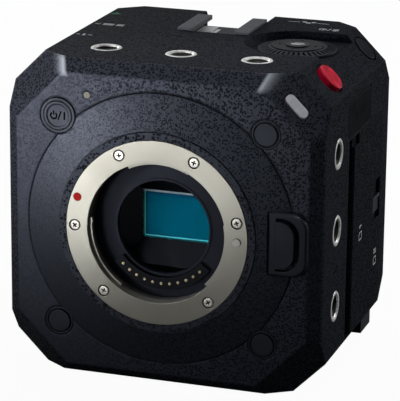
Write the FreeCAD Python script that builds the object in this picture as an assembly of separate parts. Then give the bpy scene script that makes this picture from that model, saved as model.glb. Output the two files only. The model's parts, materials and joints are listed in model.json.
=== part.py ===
import FreeCAD, Part
import math
import os

# Box-shaped mirrorless camera, in millimetres. The lens looks along -Y, +X is on the right of a
# front view and +Z is up. The origin is on the underside, below the middle of the housing.
V = FreeCAD.Vector

# Housing
BODY_W = 93.0            # width
BODY_H = 93.0            # height
DEPTH = 78.0             # lens flange to the back of the housing, less the proud parts
EDGE_CUT = 9.2           # leg of the 45 degree cut along each long edge
WALL = 2.0               # thickness of the outer covers
SEAM = 0.12              # gap between neighbouring covers
FIT = 0.1                # clearance round a fixed part in its seat
RUN = 0.08               # clearance round a moving part
HALF = BODY_W / 2
MID = BODY_H / 2

# Front and rear shells
MOUNT_Y = -DEPTH / 2     # lens flange plane
FACE_SETBACK = 3.6       # front plate behind the flange plane
FACE_Y = MOUNT_Y + FACE_SETBACK
BEVEL_Y = FACE_Y + 3.6   # where the straight front bevels reach the covers
CORNER_Y = FACE_Y + 8.4  # where the corner bevels reach the covers
FACE_INSET = 3.5         # edge of the flat front plate, in from the sides
FACE_CUT = 14.4          # corner cut of the flat front plate
SHELL_T = 2.2            # thickness of the front and rear plates
RIM = 4.5                # wall of the front and rear shells, from the side of the housing
RIM_CUT = 12.2           # corner cut of the hollow in those shells
REAR_INSET = 0.4         # back of the housing short of the nominal depth
REAR_Y = DEPTH / 2 - REAR_INSET
REAR_BEVEL = 1.0         # small bevel round the back
REAR_CORNER_IN = 5.5     # how far the rear corner cut comes in on the diagonal
REAR_CORNER_Y = REAR_Y - 6.6
PROUD = 0.5              # how far the lock pin and the rear flaps pass the nominal depth

# Lens mount
AXIS_Z = MID - 0.3       # height of the lens axis
FLANGE_DEPTH = 19.25     # flange plane to image plane
RING_R = 26.6            # bayonet ring, outside
THROAT_R = 20.4          # bayonet ring, inside
RING_T = 3.5
CLAW_R = 19.5            # inner radius of the three claws
CLAW_DROP = 1.5          # claws behind the flange plane
CLAW_T = 1.3
CLAWS = [(63.6, 115.7), (173.6, 237.0), (315.5, 371.3)]
SCREW_CIRCLE_R = 24.1
SCREW_ANGLES = [13, 63, 117, 180, 230, 310]
SCREW_HEAD_R = 1.5
SCREW_RELIEF = 0.22      # gap round a screw head in its seat
SCREW_SHANK_R = 0.85
PIN_CIRCLE_R = 23.6
PIN_R = 1.1
DOT_CIRCLE_R = 24.7
DOT_ANGLE = 160.3
DOT_R = 1.2
COLLAR_R = 28.85         # rough ring round the bayonet
PANEL_R = 39.2           # conical panel round the collar
PANEL_SEAT = 0.8         # depth of the panel's seat in the front plate
BAFFLE_HOLE_R = 13.6
BAFFLE_Y = MOUNT_Y + 6.5
CONTACT_R = 16.1         # circle of the lens contacts
CONTACT_COUNT = 11
CONTACT_PITCH = 9.0      # degrees

# Round parts at the corners of the front plate
CORNER_SITE = 30.35      # distance from the axis along X and along Z
CAP_R = 3.3
CAP_BASE_R = 4.2
POWER_R = 4.15
POWER_DISH_R = 3.27
BEZEL_R = 5.1
ROUND_GAP = 0.25         # groove round the caps and the power bezel
LED_OUT = 3.6            # power lamp, out from the edge of the conical panel
LED_ANGLE = 120.5
LED_R = 0.95
TALLY_UP = 3.17          # tally lamp, distance up the corner bevel along the diagonal
TALLY_LENGTH = 7.8
TALLY_WIDTH = 2.9
TALLY_GAP = 0.3          # dark groove round the lamp

# Lens release on the front plate
GUARD_X = COLLAR_R + 3.05
GUARD_W = HALF - 3.4 - GUARD_X
GUARD_H = 18.2
GUARD_CORNER = 4.6       # round corners on the outer side
GUARD_T = 2.0
RELEASE_X = GUARD_X + 0.223 * GUARD_W
RELEASE_W = 0.464 * GUARD_W
RELEASE_H = 13.4
RELEASE_PROUD = 0.8

# Threaded bushes, 1/4 inch camera thread
BUSH_Y = MOUNT_Y + 20.8
BUSH_PITCH = 22.3
BUSH_Z = AXIS_Z - 0.3    # middle of the rows on the sides
BUSH_R = 4.6
BUSH_BORE_R = 2.6
BUSH_LENGTH = 7.0
BUSH_FLOOR = 0.6

# Control dial on the top
SHOE_X = 10.8            # half width of the shoe's notch
DIAL_R = 11.4
RECESS_R = DIAL_R + 4.0
DIAL_X = SHOE_X + RECESS_R + 0.7
DIAL_Y = 6.3
RECESS_DEPTH = 2.2
RECESS_TAPER = 1.2
DIAL_TOP = 0.9           # dial top below the top of the housing
DIAL_RIBS = 40
PAD_R = 7.2
SET_R = 3.45
STEM_R = 4.6             # hollow stem of the dial
PAD_STEM_R = 3.8
SET_STEM_R = 2.6

# Accessory shoe
SHOE_Y = REAR_Y - 28.4
SHOE_DEPTH = 4.9
SHOE_RISE = 0.8          # rails above the top of the housing
SHOE_GAP = 12.7          # between the rails
SHOE_SLOT_W = 18.7
SHOE_SLOT_H = 2.1
SHOE_LIP_T = 1.3
SHOE_LENGTH = 19.2
MIC_X = 7.6
MIC_Y = 2.4

# Buttons on the long top bevels
REC_Y = -13.6
REC_R = 4.2
REC_PROUD = 1.05
REC_DISH = (5.9, 5.0, 0.7)   # half length, half width and depth of the dish round it
PLAY_Y = REAR_Y - 13.1
SMALL_BUTTON_R = 3.8
SMALL_DISH_R = 4.6
SMALL_DISH_DEPTH = 0.5
LEFT_BUTTON_Y = [-4.8, 9.2, REAR_Y - 15.4]

# Inside
FRAME_GAP = 0.1
FRAME_T = 1.6
FRAME_FRONT = CORNER_Y + 0.1
BULKHEAD_T = 1.9
BARREL_R = 26.4
SENSOR_W = 20.2
SENSOR_H = 14.2
SENSOR_Y = MOUNT_Y + FLANGE_DEPTH
BOARD_T = 1.2
FIN_COUNT = 11
FAN_R = 17.5
FAN_BLADES = 7
FAN_Y = (SENSOR_Y + 11.75, SENSOR_Y + 18.95)
MAIN_BOARD_Y = FAN_Y[1] + 2.6
PORT_BOARD_Y = REAR_Y - 14.1

# Side vents, card door and jack cover
VENT_Y = (FAN_Y[0] + 1.0, FAN_Y[1] - 0.2)
SIDE_OPEN_Z = (EDGE_CUT + SEAM / 2, BODY_H - 24.0)
DOOR_END_Y = REAR_Y - 8.0
DOOR_T = 1.9
HINGE_R = 0.95
LOCK_Y = (DOOR_END_Y - 8.3, DOOR_END_Y - 0.6)
LOCK_Z = (MID - 10.0, MID + 2.5)
LOCK_KNOB_H = 5.0
JACK_Y = (VENT_Y[0] - 1.8, VENT_Y[1] + 17.2)
JACK_Z = (BODY_H - 22.8, BODY_H - 12.5)
BAY_Y = (VENT_Y[1] + 4.2, DOOR_END_Y - 6.8)
BAY_Z = (12.0, BODY_H - 26.0)
BAY_MID_Z = (BAY_Z[0] + BAY_Z[1]) / 2 - 0.5
CARD_H = 24.4            # card slots
BAY_FLOOR_X = HALF - 6.5
JACK_R = 1.8

# Rear panel
BATTERY_X = (8.5 - HALF, HALF - 43.5)
BATTERY_Z = (10.0, BODY_H - 15.0)
BATTERY_DEPTH = 12.0
SOCKET_X = (HALF - 38.0, HALF - 20.0)
SOCKET_Z = (12.0, BODY_H - 13.0)
SOCKET_DEPTH = 8.2
BNC_Z = [MID - 11.5, MID + 6.5, MID + 24.5]
BNC_R = 4.8
HDMI_Z = SOCKET_Z[0] + 7.0
FLAP_X = (HALF - 15.7, HALF - 2.1)
FLAP_T = 2.0
UPPER_FLAP_Z = (MID - 5.5, MID + 22.5)
LOWER_FLAP_Z = (MID - 26.0, MID - 12.0)
FOOT_X = (HALF - 9.1, HALF - 3.6)
FOOT_Y = (REAR_Y - 12.2, REAR_Y - 1.4)
FOOT_H = 6.0

SQ = math.sqrt(0.5)
LIMIT = 80.0             # longer than anything in the camera


def box(x, y, z):
    """Block between two limits on each axis."""
    return Part.makeBox(x[1] - x[0], y[1] - y[0], z[1] - z[0], V(x[0], y[0], z[0]))


def rod(r, start, direction, length):
    return Part.makeCylinder(r, length, start, direction)


def prism(points, sweep):
    """Polygon through the points, pushed along the sweep vector."""
    return Part.Face(Part.makePolygon(points + [points[0]])).extrude(sweep)


def turned(points, centre, axis):
    """Solid of revolution of a polygon that is already drawn beside the axis."""
    face = Part.Face(Part.makePolygon(points + [points[0]]))
    return face.revolve(centre, axis, 360)


def turned_on_lens(profile):
    """Revolve (radius, y) pairs about the lens axis."""
    return turned([V(r, y, AXIS_Z) for r, y in profile], V(0, 0, AXIS_Z), V(0, 1, 0))


def turned_on_dial(profile):
    """Revolve (radius, z) pairs about the dial's axis."""
    points = [V(DIAL_X + r, DIAL_Y, z) for r, z in profile]
    return turned(points, V(DIAL_X, DIAL_Y, 0), V(0, 0, 1))


def join(shapes):
    body = shapes[0]
    for shape in shapes[1:]:
        body = body.fuse(shape)
    return body.removeSplitter()


def cut_all(body, tools):
    for tool in tools:
        body = body.cut(tool)
    return body


def octagon(inset, y0, y1, cut=None):
    """Housing section, drawn in by a wall thickness, between two planes."""
    half = HALF - inset
    low = inset
    high = BODY_H - inset
    if cut is None:
        cut = EDGE_CUT - (2 - math.sqrt(2)) * inset
    points = [V(-half + cut, y0, low), V(half - cut, y0, low), V(half, y0, low + cut),
              V(half, y0, high - cut), V(half - cut, y0, high), V(-half + cut, y0, high),
              V(-half, y0, high - cut), V(-half, y0, low + cut)]
    return prism(points, V(0, y1 - y0, 0))


# Distances from the middle of the housing along a diagonal
DIAG_BODY = (HALF + MID - EDGE_CUT) * SQ
DIAG_FACE = (HALF + MID - 2 * FACE_INSET - FACE_CUT) * SQ
DIAG_REAR = DIAG_BODY - REAR_CORNER_IN
DIAGONALS = [V(sx * SQ, 0, sz * SQ) for sx in (1, -1) for sz in (1, -1)]


def along(direction, distance, y):
    return V(0, y, MID) + direction * distance


def bevel(direction, near, far):
    """Wedge outside the sloping plane through two (distance, y) lines across a direction."""
    step = (far[0] - near[0], far[1] - near[1])
    start = (near[0] - step[0], near[1] - step[1])
    end = (far[0] + step[0], far[1] + step[1])
    side = direction.cross(V(0, 1, 0))
    corners = [start, end, (end[0] + LIMIT, end[1]), (end[0] + LIMIT, start[1])]
    points = [along(direction, d, y) - side * LIMIT for d, y in corners]
    return prism(points, side * (2 * LIMIT))


def outer_body():
    """The whole outside of the housing, bevelled at the front and back, as one solid."""
    lowered = MID - AXIS_Z
    straight = [(V(1, 0, 0), HALF, HALF - FACE_INSET), (V(-1, 0, 0), HALF, HALF - FACE_INSET),
                (V(0, 0, 1), MID, MID - FACE_INSET - lowered),
                (V(0, 0, -1), MID, MID - FACE_INSET + lowered)]
    tools = []
    for direction, side, face in straight:
        tools.append(bevel(direction, (face, FACE_Y), (side, BEVEL_Y)))
        tools.append(bevel(direction, (side - REAR_BEVEL, REAR_Y), (side, REAR_Y - REAR_BEVEL)))
    for direction in DIAGONALS:
        tools.append(bevel(direction, (DIAG_FACE, FACE_Y), (DIAG_BODY, CORNER_Y)))
        tools.append(bevel(direction, (DIAG_REAR, REAR_Y), (DIAG_BODY, REAR_CORNER_Y)))
    return cut_all(octagon(0, FACE_Y, REAR_Y), tools)


def end_region(straight_y, corner_y, diag_straight, shift):
    """Space taken by an end shell: a slab, with a tongue at each of the four cut corners."""
    toward = 1 if corner_y > straight_y else -1
    end = straight_y - toward * LIMIT
    slab_y = sorted((end, straight_y + toward * shift))
    region = box((-LIMIT, LIMIT), slab_y, (-LIMIT, 2 * LIMIT))
    wide = HALF * 2 * SQ - diag_straight
    narrow = EDGE_CUT * SQ
    for direction in DIAGONALS:
        side = direction.cross(V(0, 1, 0))
        outline = [(-wide, straight_y), (-narrow, corner_y), (narrow, corner_y), (wide, straight_y)]
        outline = [(t, y + toward * shift) for t, y in outline]
        points = [along(direction, 30, y) + side * t for t, y in outline]
        region = region.fuse(prism(points, direction * 50))
    return region


def slope_at(y, near, far):
    """Distance along the diagonal where a corner bevel passes a plane."""
    return near[0] + (far[0] - near[0]) * (y - near[1]) / (far[1] - near[1])


def front_region(shift):
    diag = slope_at(BEVEL_Y, (DIAG_FACE, FACE_Y), (DIAG_BODY, CORNER_Y))
    return end_region(BEVEL_Y, CORNER_Y, diag, shift)


def rear_region(shift):
    start = REAR_Y - REAR_BEVEL
    diag = slope_at(start, (DIAG_REAR, REAR_Y), (DIAG_BODY, REAR_CORNER_Y))
    return end_region(start, REAR_CORNER_Y, diag, shift)


def on_axis(r, degrees, y):
    angle = math.radians(degrees)
    return V(r * math.cos(angle), y, AXIS_Z + r * math.sin(angle))


def corner_site(sx, sz, y):
    return V(sx * CORNER_SITE, y, AXIS_Z + sz * CORNER_SITE)


# Bushes: each site is the centre of its mouth and the direction that it faces
def bush_sites():
    steps = [-BUSH_PITCH, 0, BUSH_PITCH]
    sites = [(V(s, BUSH_Y, BODY_H), V(0, 0, 1)) for s in steps]
    sites += [(V(s, BUSH_Y, 0), V(0, 0, -1)) for s in steps]
    sites += [(V(HALF, BUSH_Y, BUSH_Z + s), V(1, 0, 0)) for s in steps]
    sites += [(V(-HALF, BUSH_Y, BUSH_Z + s), V(-1, 0, 0)) for s in (steps[0], steps[2])]
    return sites


def bush(mouth, facing):
    body = rod(BUSH_R, mouth - facing * BUSH_LENGTH, facing, BUSH_LENGTH)
    bore = rod(BUSH_BORE_R, mouth - facing * (BUSH_LENGTH - BUSH_FLOOR), facing, BUSH_LENGTH)
    return body.cut(bore)


def bush_holes():
    return [rod(BUSH_R + FIT / 2, m - f * (BUSH_LENGTH + 0.2), f, BUSH_LENGTH + 2)
            for m, f in bush_sites()]


def bush_windows():
    """Square clearance round the bushes in the inner frame."""
    half = BUSH_R + 0.3
    along_bush = BUSH_LENGTH / 2 + 0.5
    tools = []
    for mouth, facing in bush_sites():
        centre = mouth - facing * (BUSH_LENGTH / 2)
        reach = [along_bush if f else half for f in facing]
        tools.append(box(*[(c - r, c + r) for c, r in zip(centre, reach)]))
    return tools


# Parts on the long top bevels: side is 1 for the right bevel and -1 for the left one
def bevel_point(side, y, height=0.0):
    centre = HALF - EDGE_CUT / 2 + height * SQ
    return V(side * centre, y, BODY_H - EDGE_CUT / 2 + height * SQ)


def bevel_normal(side):
    return V(side * SQ, 0, SQ)


def bevel_button(side, y, r, proud):
    """Round key with a retaining flange inside the cover."""
    normal = bevel_normal(side)
    key = rod(r, bevel_point(side, y, -WALL - 0.6), normal, WALL + 0.6 + proud)
    key = key.makeChamfer(0.25, [key.Edges[0]]) if proud > 1 else key
    flange = rod(r + 0.4, bevel_point(side, y, -WALL - 1.0), normal, 0.8)
    return join([key, flange])


def bevel_button_hole(side, y, r):
    return rod(r + RUN, bevel_point(side, y, -LIMIT / 8), bevel_normal(side), LIMIT / 4)


def bevel_button_well(side, y, r):
    """Space under the cover for the flange of a key."""
    return rod(r + 0.4 + FIT, bevel_point(side, y, -WALL - 4), bevel_normal(side), 4)


def bevel_window(side, y, half):
    """Square clearance under a key in the inner frame."""
    normal = bevel_normal(side)
    across = normal.cross(V(0, 1, 0)) * half
    low = bevel_point(side, y, -WALL - 4)
    step = V(0, half, 0)
    corners = [low - across - step, low + across - step, low + across + step, low - across + step]
    return prism(corners, normal * 8)


def oval_dish(side, y):
    """Oval dish round the record button."""
    half_length, half_width, depth = REC_DISH
    normal = bevel_normal(side)
    low = bevel_point(side, y, -depth)
    ellipse = Part.Ellipse(low + V(0, half_length, 0),
                           low + normal.cross(V(0, 1, 0)) * half_width, low)
    return Part.Face(Part.Wire([ellipse.toShape()])).extrude(normal * 4)


def u_recess(r, z, reach):
    """U-shaped outline, round at the left of the dial and open towards the right side."""
    a = V(DIAL_X, DIAL_Y + r, z)
    b = V(DIAL_X - r, DIAL_Y, z)
    c = V(DIAL_X, DIAL_Y - r, z)
    d = V(reach, DIAL_Y - r, z)
    e = V(reach, DIAL_Y + r, z)
    edges = [Part.Arc(a, b, c).toShape(), Part.LineSegment(c, d).toShape(),
             Part.LineSegment(d, e).toShape(), Part.LineSegment(e, a).toShape()]
    return Part.Wire(edges)


def dial_recess():
    floor_z = BODY_H - RECESS_DEPTH
    over = RECESS_TAPER / RECESS_DEPTH
    low = u_recess(RECESS_R - RECESS_TAPER, floor_z, HALF + 2)
    high = u_recess(RECESS_R + over, BODY_H + 1, HALF + 2)
    return Part.makeLoft([low, high], True, True)


# Covers
def cover_ring():
    """The four outer covers before they are parted."""
    ring = outer_body().cut(octagon(WALL, -LIMIT, LIMIT))
    return ring.cut(front_region(SEAM)).cut(rear_region(SEAM))


def top_cover(ring):
    edge = BODY_H - EDGE_CUT + SEAM / 2
    cover = ring.common(box((-LIMIT, LIMIT), (-LIMIT, LIMIT), (edge, LIMIT * 2)))
    under = BODY_H - WALL
    pan = Part.Face(u_recess(RECESS_R + WALL / 2, under - WALL, HALF)).extrude(V(0, 0, WALL + 0.1))
    pan = pan.common(octagon(0, -LIMIT, LIMIT))
    notch_floor = BODY_H - SHOE_DEPTH
    rear = REAR_Y - REAR_BEVEL - SEAM
    tray = box((-SHOE_X - 1.6, SHOE_X + 1.6), (SHOE_Y - 1.6, rear), (notch_floor - 1.6, under + 0.1))
    cover = join([cover, pan, tray])
    tools = [dial_recess(), oval_dish(1, REC_Y), bevel_button_hole(1, REC_Y, REC_R),
             bevel_button_well(1, REC_Y, REC_R), bevel_button_well(1, PLAY_Y, SMALL_BUTTON_R)]
    tools.append(rod(STEM_R + RUN, V(DIAL_X, DIAL_Y, under - LIMIT / 4), V(0, 0, 1), LIMIT / 2))
    tools.append(box((-SHOE_X, SHOE_X), (SHOE_Y, LIMIT), (notch_floor, LIMIT * 2)))
    sites = [(1, PLAY_Y)] + [(-1, y) for y in LEFT_BUTTON_Y]
    for side, y in sites:
        low = bevel_point(side, y, -SMALL_DISH_DEPTH)
        tools.append(rod(SMALL_DISH_R, low, bevel_normal(side), 3))
        tools.append(bevel_button_hole(side, y, SMALL_BUTTON_R))
    for side in (-1, 1):
        x = side * MIC_X
        tools.append(box((x - 1.5, x + 1.5), (MIC_Y - 0.35, MIC_Y + 0.35), (under - 1, BODY_H + 1)))
    return cut_all(cover, tools + bush_holes())


def bottom_cover(ring):
    edge = EDGE_CUT - SEAM / 2
    cover = ring.common(box((-LIMIT, LIMIT), (-LIMIT, LIMIT), (-LIMIT, edge)))
    return cut_all(cover, bush_holes())


def side_cover(ring, side):
    low, high = EDGE_CUT + SEAM / 2, BODY_H - EDGE_CUT - SEAM / 2
    x = sorted((side * LIMIT, side * (HALF - EDGE_CUT)))
    cover = ring.common(box(x, (-LIMIT, LIMIT), (low, high)))
    x_cut = sorted((side * LIMIT, side * (HALF - 2 * WALL)))
    down = (0, SIDE_OPEN_Z[1])
    tools = [box(x_cut, VENT_Y, down)]
    if side > 0:
        tools.append(box(x_cut, (VENT_Y[1] - 0.1, DOOR_END_Y + 0.2), down))
        tools.append(box(x_cut, (JACK_Y[0] - FIT, JACK_Y[1] + FIT), (JACK_Z[0] - FIT, JACK_Z[1] + FIT)))
    return cut_all(cover, tools + bush_holes())


# Front shell and what it carries
def pill(r, length, thickness, centre, facing, across):
    """Stadium-shaped block, its long way square to facing and across."""
    long_way = facing.cross(across)
    ends = [centre + long_way * s * (length / 2 - r) for s in (-1, 1)]
    points = [e + across * r * w for e, w in zip((ends[0], ends[0], ends[1], ends[1]), (-1, 1, 1, -1))]
    parts = [rod(r, end, facing, thickness) for end in ends]
    parts.append(prism(points, facing * thickness))
    return join(parts)


def tally_frame():
    """Centre, outward normal and slope direction of the tally lamp on the upper right corner."""
    y = FACE_Y + (CORNER_Y - FACE_Y) * TALLY_UP / (DIAG_BODY - DIAG_FACE)
    diagonal = V(SQ, 0, SQ)
    slope = diagonal * (DIAG_BODY - DIAG_FACE) + V(0, CORNER_Y - FACE_Y, 0)
    slope.normalize()
    facing = slope.cross(V(-SQ, 0, SQ))
    facing = facing if facing.y < 0 else facing * -1
    return along(diagonal, DIAG_FACE + TALLY_UP, y), facing, slope


def tally_lamp(grow=0.0, depth=1.2, proud=0.25):
    centre, facing, slope = tally_frame()
    start = centre - facing * depth
    r = TALLY_WIDTH / 2 + grow
    return pill(r, TALLY_LENGTH + 2 * grow, depth + proud, start, facing, slope)


def d_outline(x, width, height, corner, y):
    """D-shaped outline beside the mount: straight on the left, round at its right corners."""
    right, h = x + width, height / 2
    bend = corner * (1 - SQ)
    a, b, c = V(x, y, AXIS_Z + h), V(right - corner, y, AXIS_Z + h), V(right, y, AXIS_Z + h - corner)
    d, e, f = V(right, y, AXIS_Z - h + corner), V(right - corner, y, AXIS_Z - h), V(x, y, AXIS_Z - h)
    upper = Part.Arc(b, V(right - bend, y, AXIS_Z + h - bend), c).toShape()
    lower = Part.Arc(d, V(right - bend, y, AXIS_Z - h + bend), e).toShape()
    return Part.Wire([Part.LineSegment(a, b).toShape(), upper, Part.LineSegment(c, d).toShape(), lower,
                      Part.LineSegment(e, f).toShape(), Part.LineSegment(f, a).toShape()])


def guard_outline(inset, y):
    return d_outline(GUARD_X + inset, GUARD_W - 2 * inset, GUARD_H - 2 * inset, GUARD_CORNER - inset, y)


def release_block(grow, y0, y1):
    """D-shaped block of the release button, widened all round."""
    wire = d_outline(RELEASE_X - grow, RELEASE_W + 2 * grow, RELEASE_H + 2 * grow,
                     0.8 * RELEASE_W + grow, y0)
    return Part.Face(wire).extrude(V(0, y1 - y0, 0))


def release_guard():
    base, shoulder = guard_outline(0, FACE_Y), guard_outline(0, FACE_Y - GUARD_T + 0.5)
    body = Part.makeLoft([base, shoulder, guard_outline(0.6, FACE_Y - GUARD_T)], True, True)
    well = d_outline(RELEASE_X - 0.2, RELEASE_W + 1.6, RELEASE_H + 1.8, 0.8 * RELEASE_W + 0.9, FACE_Y + 1)
    return body.cut(Part.Face(well).extrude(V(0, -LIMIT / 8, 0)))


def guard_space():
    wire = guard_outline(-FIT, FACE_Y - LIMIT / 8)
    return Part.Face(wire).extrude(V(0, LIMIT / 8, 0))


def release_button():
    front = FACE_Y - GUARD_T - RELEASE_PROUD
    key = release_block(0, front, FACE_Y + SHELL_T + 0.8)
    return join([key, release_block(0.8, FACE_Y + SHELL_T + 0.1, FACE_Y + SHELL_T + 1.0)])


def corner_wells():
    """Wells of the power button and the three caps, as (centre, radius)."""
    wells = [(corner_site(sx, sz, 0), CAP_BASE_R + FIT) for sx, sz in ((1, 1), (1, -1), (-1, -1))]
    return wells + [(corner_site(-1, 1, 0), BEZEL_R + ROUND_GAP)]


def screw_cap(sx, sz):
    """Cap over a case screw: a flat rim, a groove and a raised middle."""
    rim = rod(CAP_BASE_R, corner_site(sx, sz, FACE_Y + 0.05), V(0, 1, 0), PANEL_SEAT - 0.05)
    groove = rod(CAP_R + ROUND_GAP, corner_site(sx, sz, FACE_Y - 1), V(0, 1, 0), 1.5)
    middle = rod(CAP_R, corner_site(sx, sz, FACE_Y - 0.2), V(0, 1, 0), 0.9)
    return join([rim.cut(groove), middle])


def front_shell():
    shell = outer_body().common(front_region(0))
    lip = octagon(WALL + FIT, BEVEL_Y, CORNER_Y).common(outer_body())
    shell = join([shell, lip])
    tools = [octagon(RIM, FACE_Y + SHELL_T, LIMIT, RIM_CUT)]
    tools.append(turned_on_lens([(0, FACE_Y - 1), (PANEL_R + 0.25, FACE_Y - 1),
                                 (PANEL_R + 0.25, FACE_Y + PANEL_SEAT), (BARREL_R + FIT, FACE_Y + PANEL_SEAT),
                                 (BARREL_R + FIT, CORNER_Y + 1), (0, CORNER_Y + 1)]))
    for centre, r in corner_wells():
        tools.append(rod(r, V(centre.x, FACE_Y - 1, centre.z), V(0, 1, 0), 1 + PANEL_SEAT))
    power = corner_site(-1, 1, FACE_Y - 1)
    tools.append(rod(POWER_R + RUN, power, V(0, 1, 0), SHELL_T + 2))
    tools.append(release_block(RUN, FACE_Y - 1, FACE_Y + SHELL_T + 1))
    lamp = on_axis(PANEL_R + LED_OUT, LED_ANGLE, FACE_Y - 1)
    tools.append(rod(LED_R + FIT / 2, lamp, V(0, 1, 0), SHELL_T + 2))
    tools.append(tally_lamp(grow=TALLY_GAP, depth=0.9, proud=2.0))
    tools.append(tally_lamp(grow=FIT / 2, proud=2.0))
    return cut_all(shell, tools)


def mount_panel():
    rim_y = FACE_Y - 0.35
    inner_y = MOUNT_Y + 0.75
    panel = turned_on_lens([(COLLAR_R + FIT, FACE_Y + PANEL_SEAT), (PANEL_R, FACE_Y + PANEL_SEAT),
                            (PANEL_R, rim_y), (COLLAR_R + FIT, inner_y)])
    tools = [guard_space()]
    for centre, r in corner_wells():
        tools.append(rod(r, V(centre.x, MOUNT_Y, centre.z), V(0, 1, 0), LIMIT / 4))
    tools.append(release_block(RUN, MOUNT_Y, MOUNT_Y + LIMIT / 4))
    return cut_all(panel, tools)


def mount_collar():
    front = MOUNT_Y + 0.25
    return turned_on_lens([(RING_R + FIT, FACE_Y + PANEL_SEAT), (COLLAR_R, FACE_Y + PANEL_SEAT),
                           (COLLAR_R, front), (RING_R + FIT, front)])


def claw(start, end):
    """Bayonet claw: an arc of the ring that reaches into the throat."""
    front = MOUNT_Y + CLAW_DROP
    face = Part.Face(Part.makePolygon([V(r, y, AXIS_Z) for r, y in
                                       [(CLAW_R, front), (THROAT_R + 0.5, front),
                                        (THROAT_R + 0.5, front + CLAW_T), (CLAW_R, front + CLAW_T),
                                        (CLAW_R, front)]]))
    face.rotate(V(0, 0, AXIS_Z), V(0, 1, 0), -start)
    return face.revolve(V(0, 0, AXIS_Z), V(0, 1, 0), start - end)


def pilot(r, start, length):
    """Six-sided pilot hole along Y that a shank of radius r fits."""
    corner = r / math.cos(math.pi / 6)
    turns = [math.pi / 3 * i for i in range(6)]
    return prism([start + V(corner * math.cos(a), 0, corner * math.sin(a)) for a in turns], V(0, length, 0))


def lens_mount_ring():
    back = MOUNT_Y + RING_T
    ring = turned_on_lens([(THROAT_R, MOUNT_Y), (RING_R, MOUNT_Y), (RING_R, back), (THROAT_R, back)])
    ring = join([ring] + [claw(start, end) for start, end in CLAWS])
    tools = []
    for degrees in SCREW_ANGLES:
        seat = on_axis(SCREW_CIRCLE_R, degrees, MOUNT_Y - 1)
        tools.append(rod(SCREW_HEAD_R + SCREW_RELIEF, seat, V(0, 1, 0), 2.1))
        tools.append(pilot(SCREW_SHANK_R + FIT, on_axis(SCREW_CIRCLE_R, degrees, MOUNT_Y), 5))
    tools.append(rod(PIN_R + RUN, on_axis(PIN_CIRCLE_R, 0, MOUNT_Y - 1), V(0, 1, 0), 6))
    tools.append(rod(DOT_R + FIT / 2, on_axis(DOT_CIRCLE_R, DOT_ANGLE, MOUNT_Y - 1), V(0, 1, 0), 1.4))
    return cut_all(ring, tools)


def mount_screw(degrees):
    head = rod(SCREW_HEAD_R, on_axis(SCREW_CIRCLE_R, degrees, MOUNT_Y + 0.1), V(0, 1, 0), 1.0)
    shank = rod(SCREW_SHANK_R, on_axis(SCREW_CIRCLE_R, degrees, MOUNT_Y + 1.0), V(0, 1, 0), 5.5)
    return join([head, shank])


def contact_block():
    """Arc-shaped block under the throat that carries the lens contacts."""
    front, back = MOUNT_Y + 5.1, BAFFLE_Y
    span = CONTACT_PITCH * (CONTACT_COUNT + 0.6)
    outline = [V(r, y, AXIS_Z) for r, y in [(14.5, front), (17.9, front), (17.9, back), (14.5, back),
                                            (14.5, front)]]
    face = Part.Face(Part.makePolygon(outline))
    face.rotate(V(0, 0, AXIS_Z), V(0, 1, 0), 90 - span / 2)
    return face.revolve(V(0, 0, AXIS_Z), V(0, 1, 0), span)


def contact_sites(y):
    middle = (CONTACT_COUNT - 1) / 2
    return [on_axis(CONTACT_R, -90 + (i - middle) * CONTACT_PITCH, y) for i in range(CONTACT_COUNT)]


def contact_pins():
    """Spring contacts, standing on the front of their block."""
    front = MOUNT_Y + 4.7
    return Part.makeCompound([rod(0.4, point, V(0, 1, 0), 0.4) for point in contact_sites(front)])


def light_baffle():
    """Black disc behind the throat with a round hole and a raised inner rim."""
    return turned_on_lens([(BAFFLE_HOLE_R, BAFFLE_Y - 0.25), (BAFFLE_HOLE_R + 0.7, BAFFLE_Y - 0.25),
                           (BAFFLE_HOLE_R + 0.7, BAFFLE_Y), (THROAT_R + 0.1, BAFFLE_Y),
                           (THROAT_R + 0.1, BAFFLE_Y + 1.4), (BAFFLE_HOLE_R, BAFFLE_Y + 1.4)])


# Frame and electronics
def frame_windows():
    under = BODY_H - WALL
    top = (under - 5, LIMIT * 2)
    right = (HALF - 5, LIMIT)
    dial = (DIAL_X - RECESS_R - 1.2, LIMIT)
    tools = [box(dial, (DIAL_Y - RECESS_R - 1.2, DIAL_Y + RECESS_R + 1.2), top),
             box((-SHOE_X - 1.7, SHOE_X + 1.7), (SHOE_Y - 1.7, LIMIT),
                 (BODY_H - SHOE_DEPTH - 1.7, LIMIT * 2)),
             box(right, (BAY_Y[0] - FIT, BAY_Y[1] + FIT), (BAY_Z[0] - FIT, BAY_Z[1] + FIT)),
             box(right, (JACK_Y[0] + 1.8, JACK_Y[1] - 1.2), (JACK_Z[0] + 0.8, JACK_Z[1] - 0.9))]
    for side in (-1, 1):
        x = sorted((side * (BAY_FLOOR_X - FIT), side * LIMIT))
        tools.append(box(x, (VENT_Y[0] - 1.0, VENT_Y[1] + 1.0), (SIDE_OPEN_Z[0] - 1.0, SIDE_OPEN_Z[1] + 1.0)))
        mic = side * MIC_X
        tools.append(box((mic - 2.1, mic + 2.1), (MIC_Y - 2.1, MIC_Y + 2.1), (under - 4, under)))
    keys = [(1, REC_Y, REC_R), (1, PLAY_Y, SMALL_BUTTON_R)]
    keys += [(-1, y, SMALL_BUTTON_R) for y in LEFT_BUTTON_Y]
    return tools + [bevel_window(side, y, r + 0.9) for side, y, r in keys]


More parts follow.
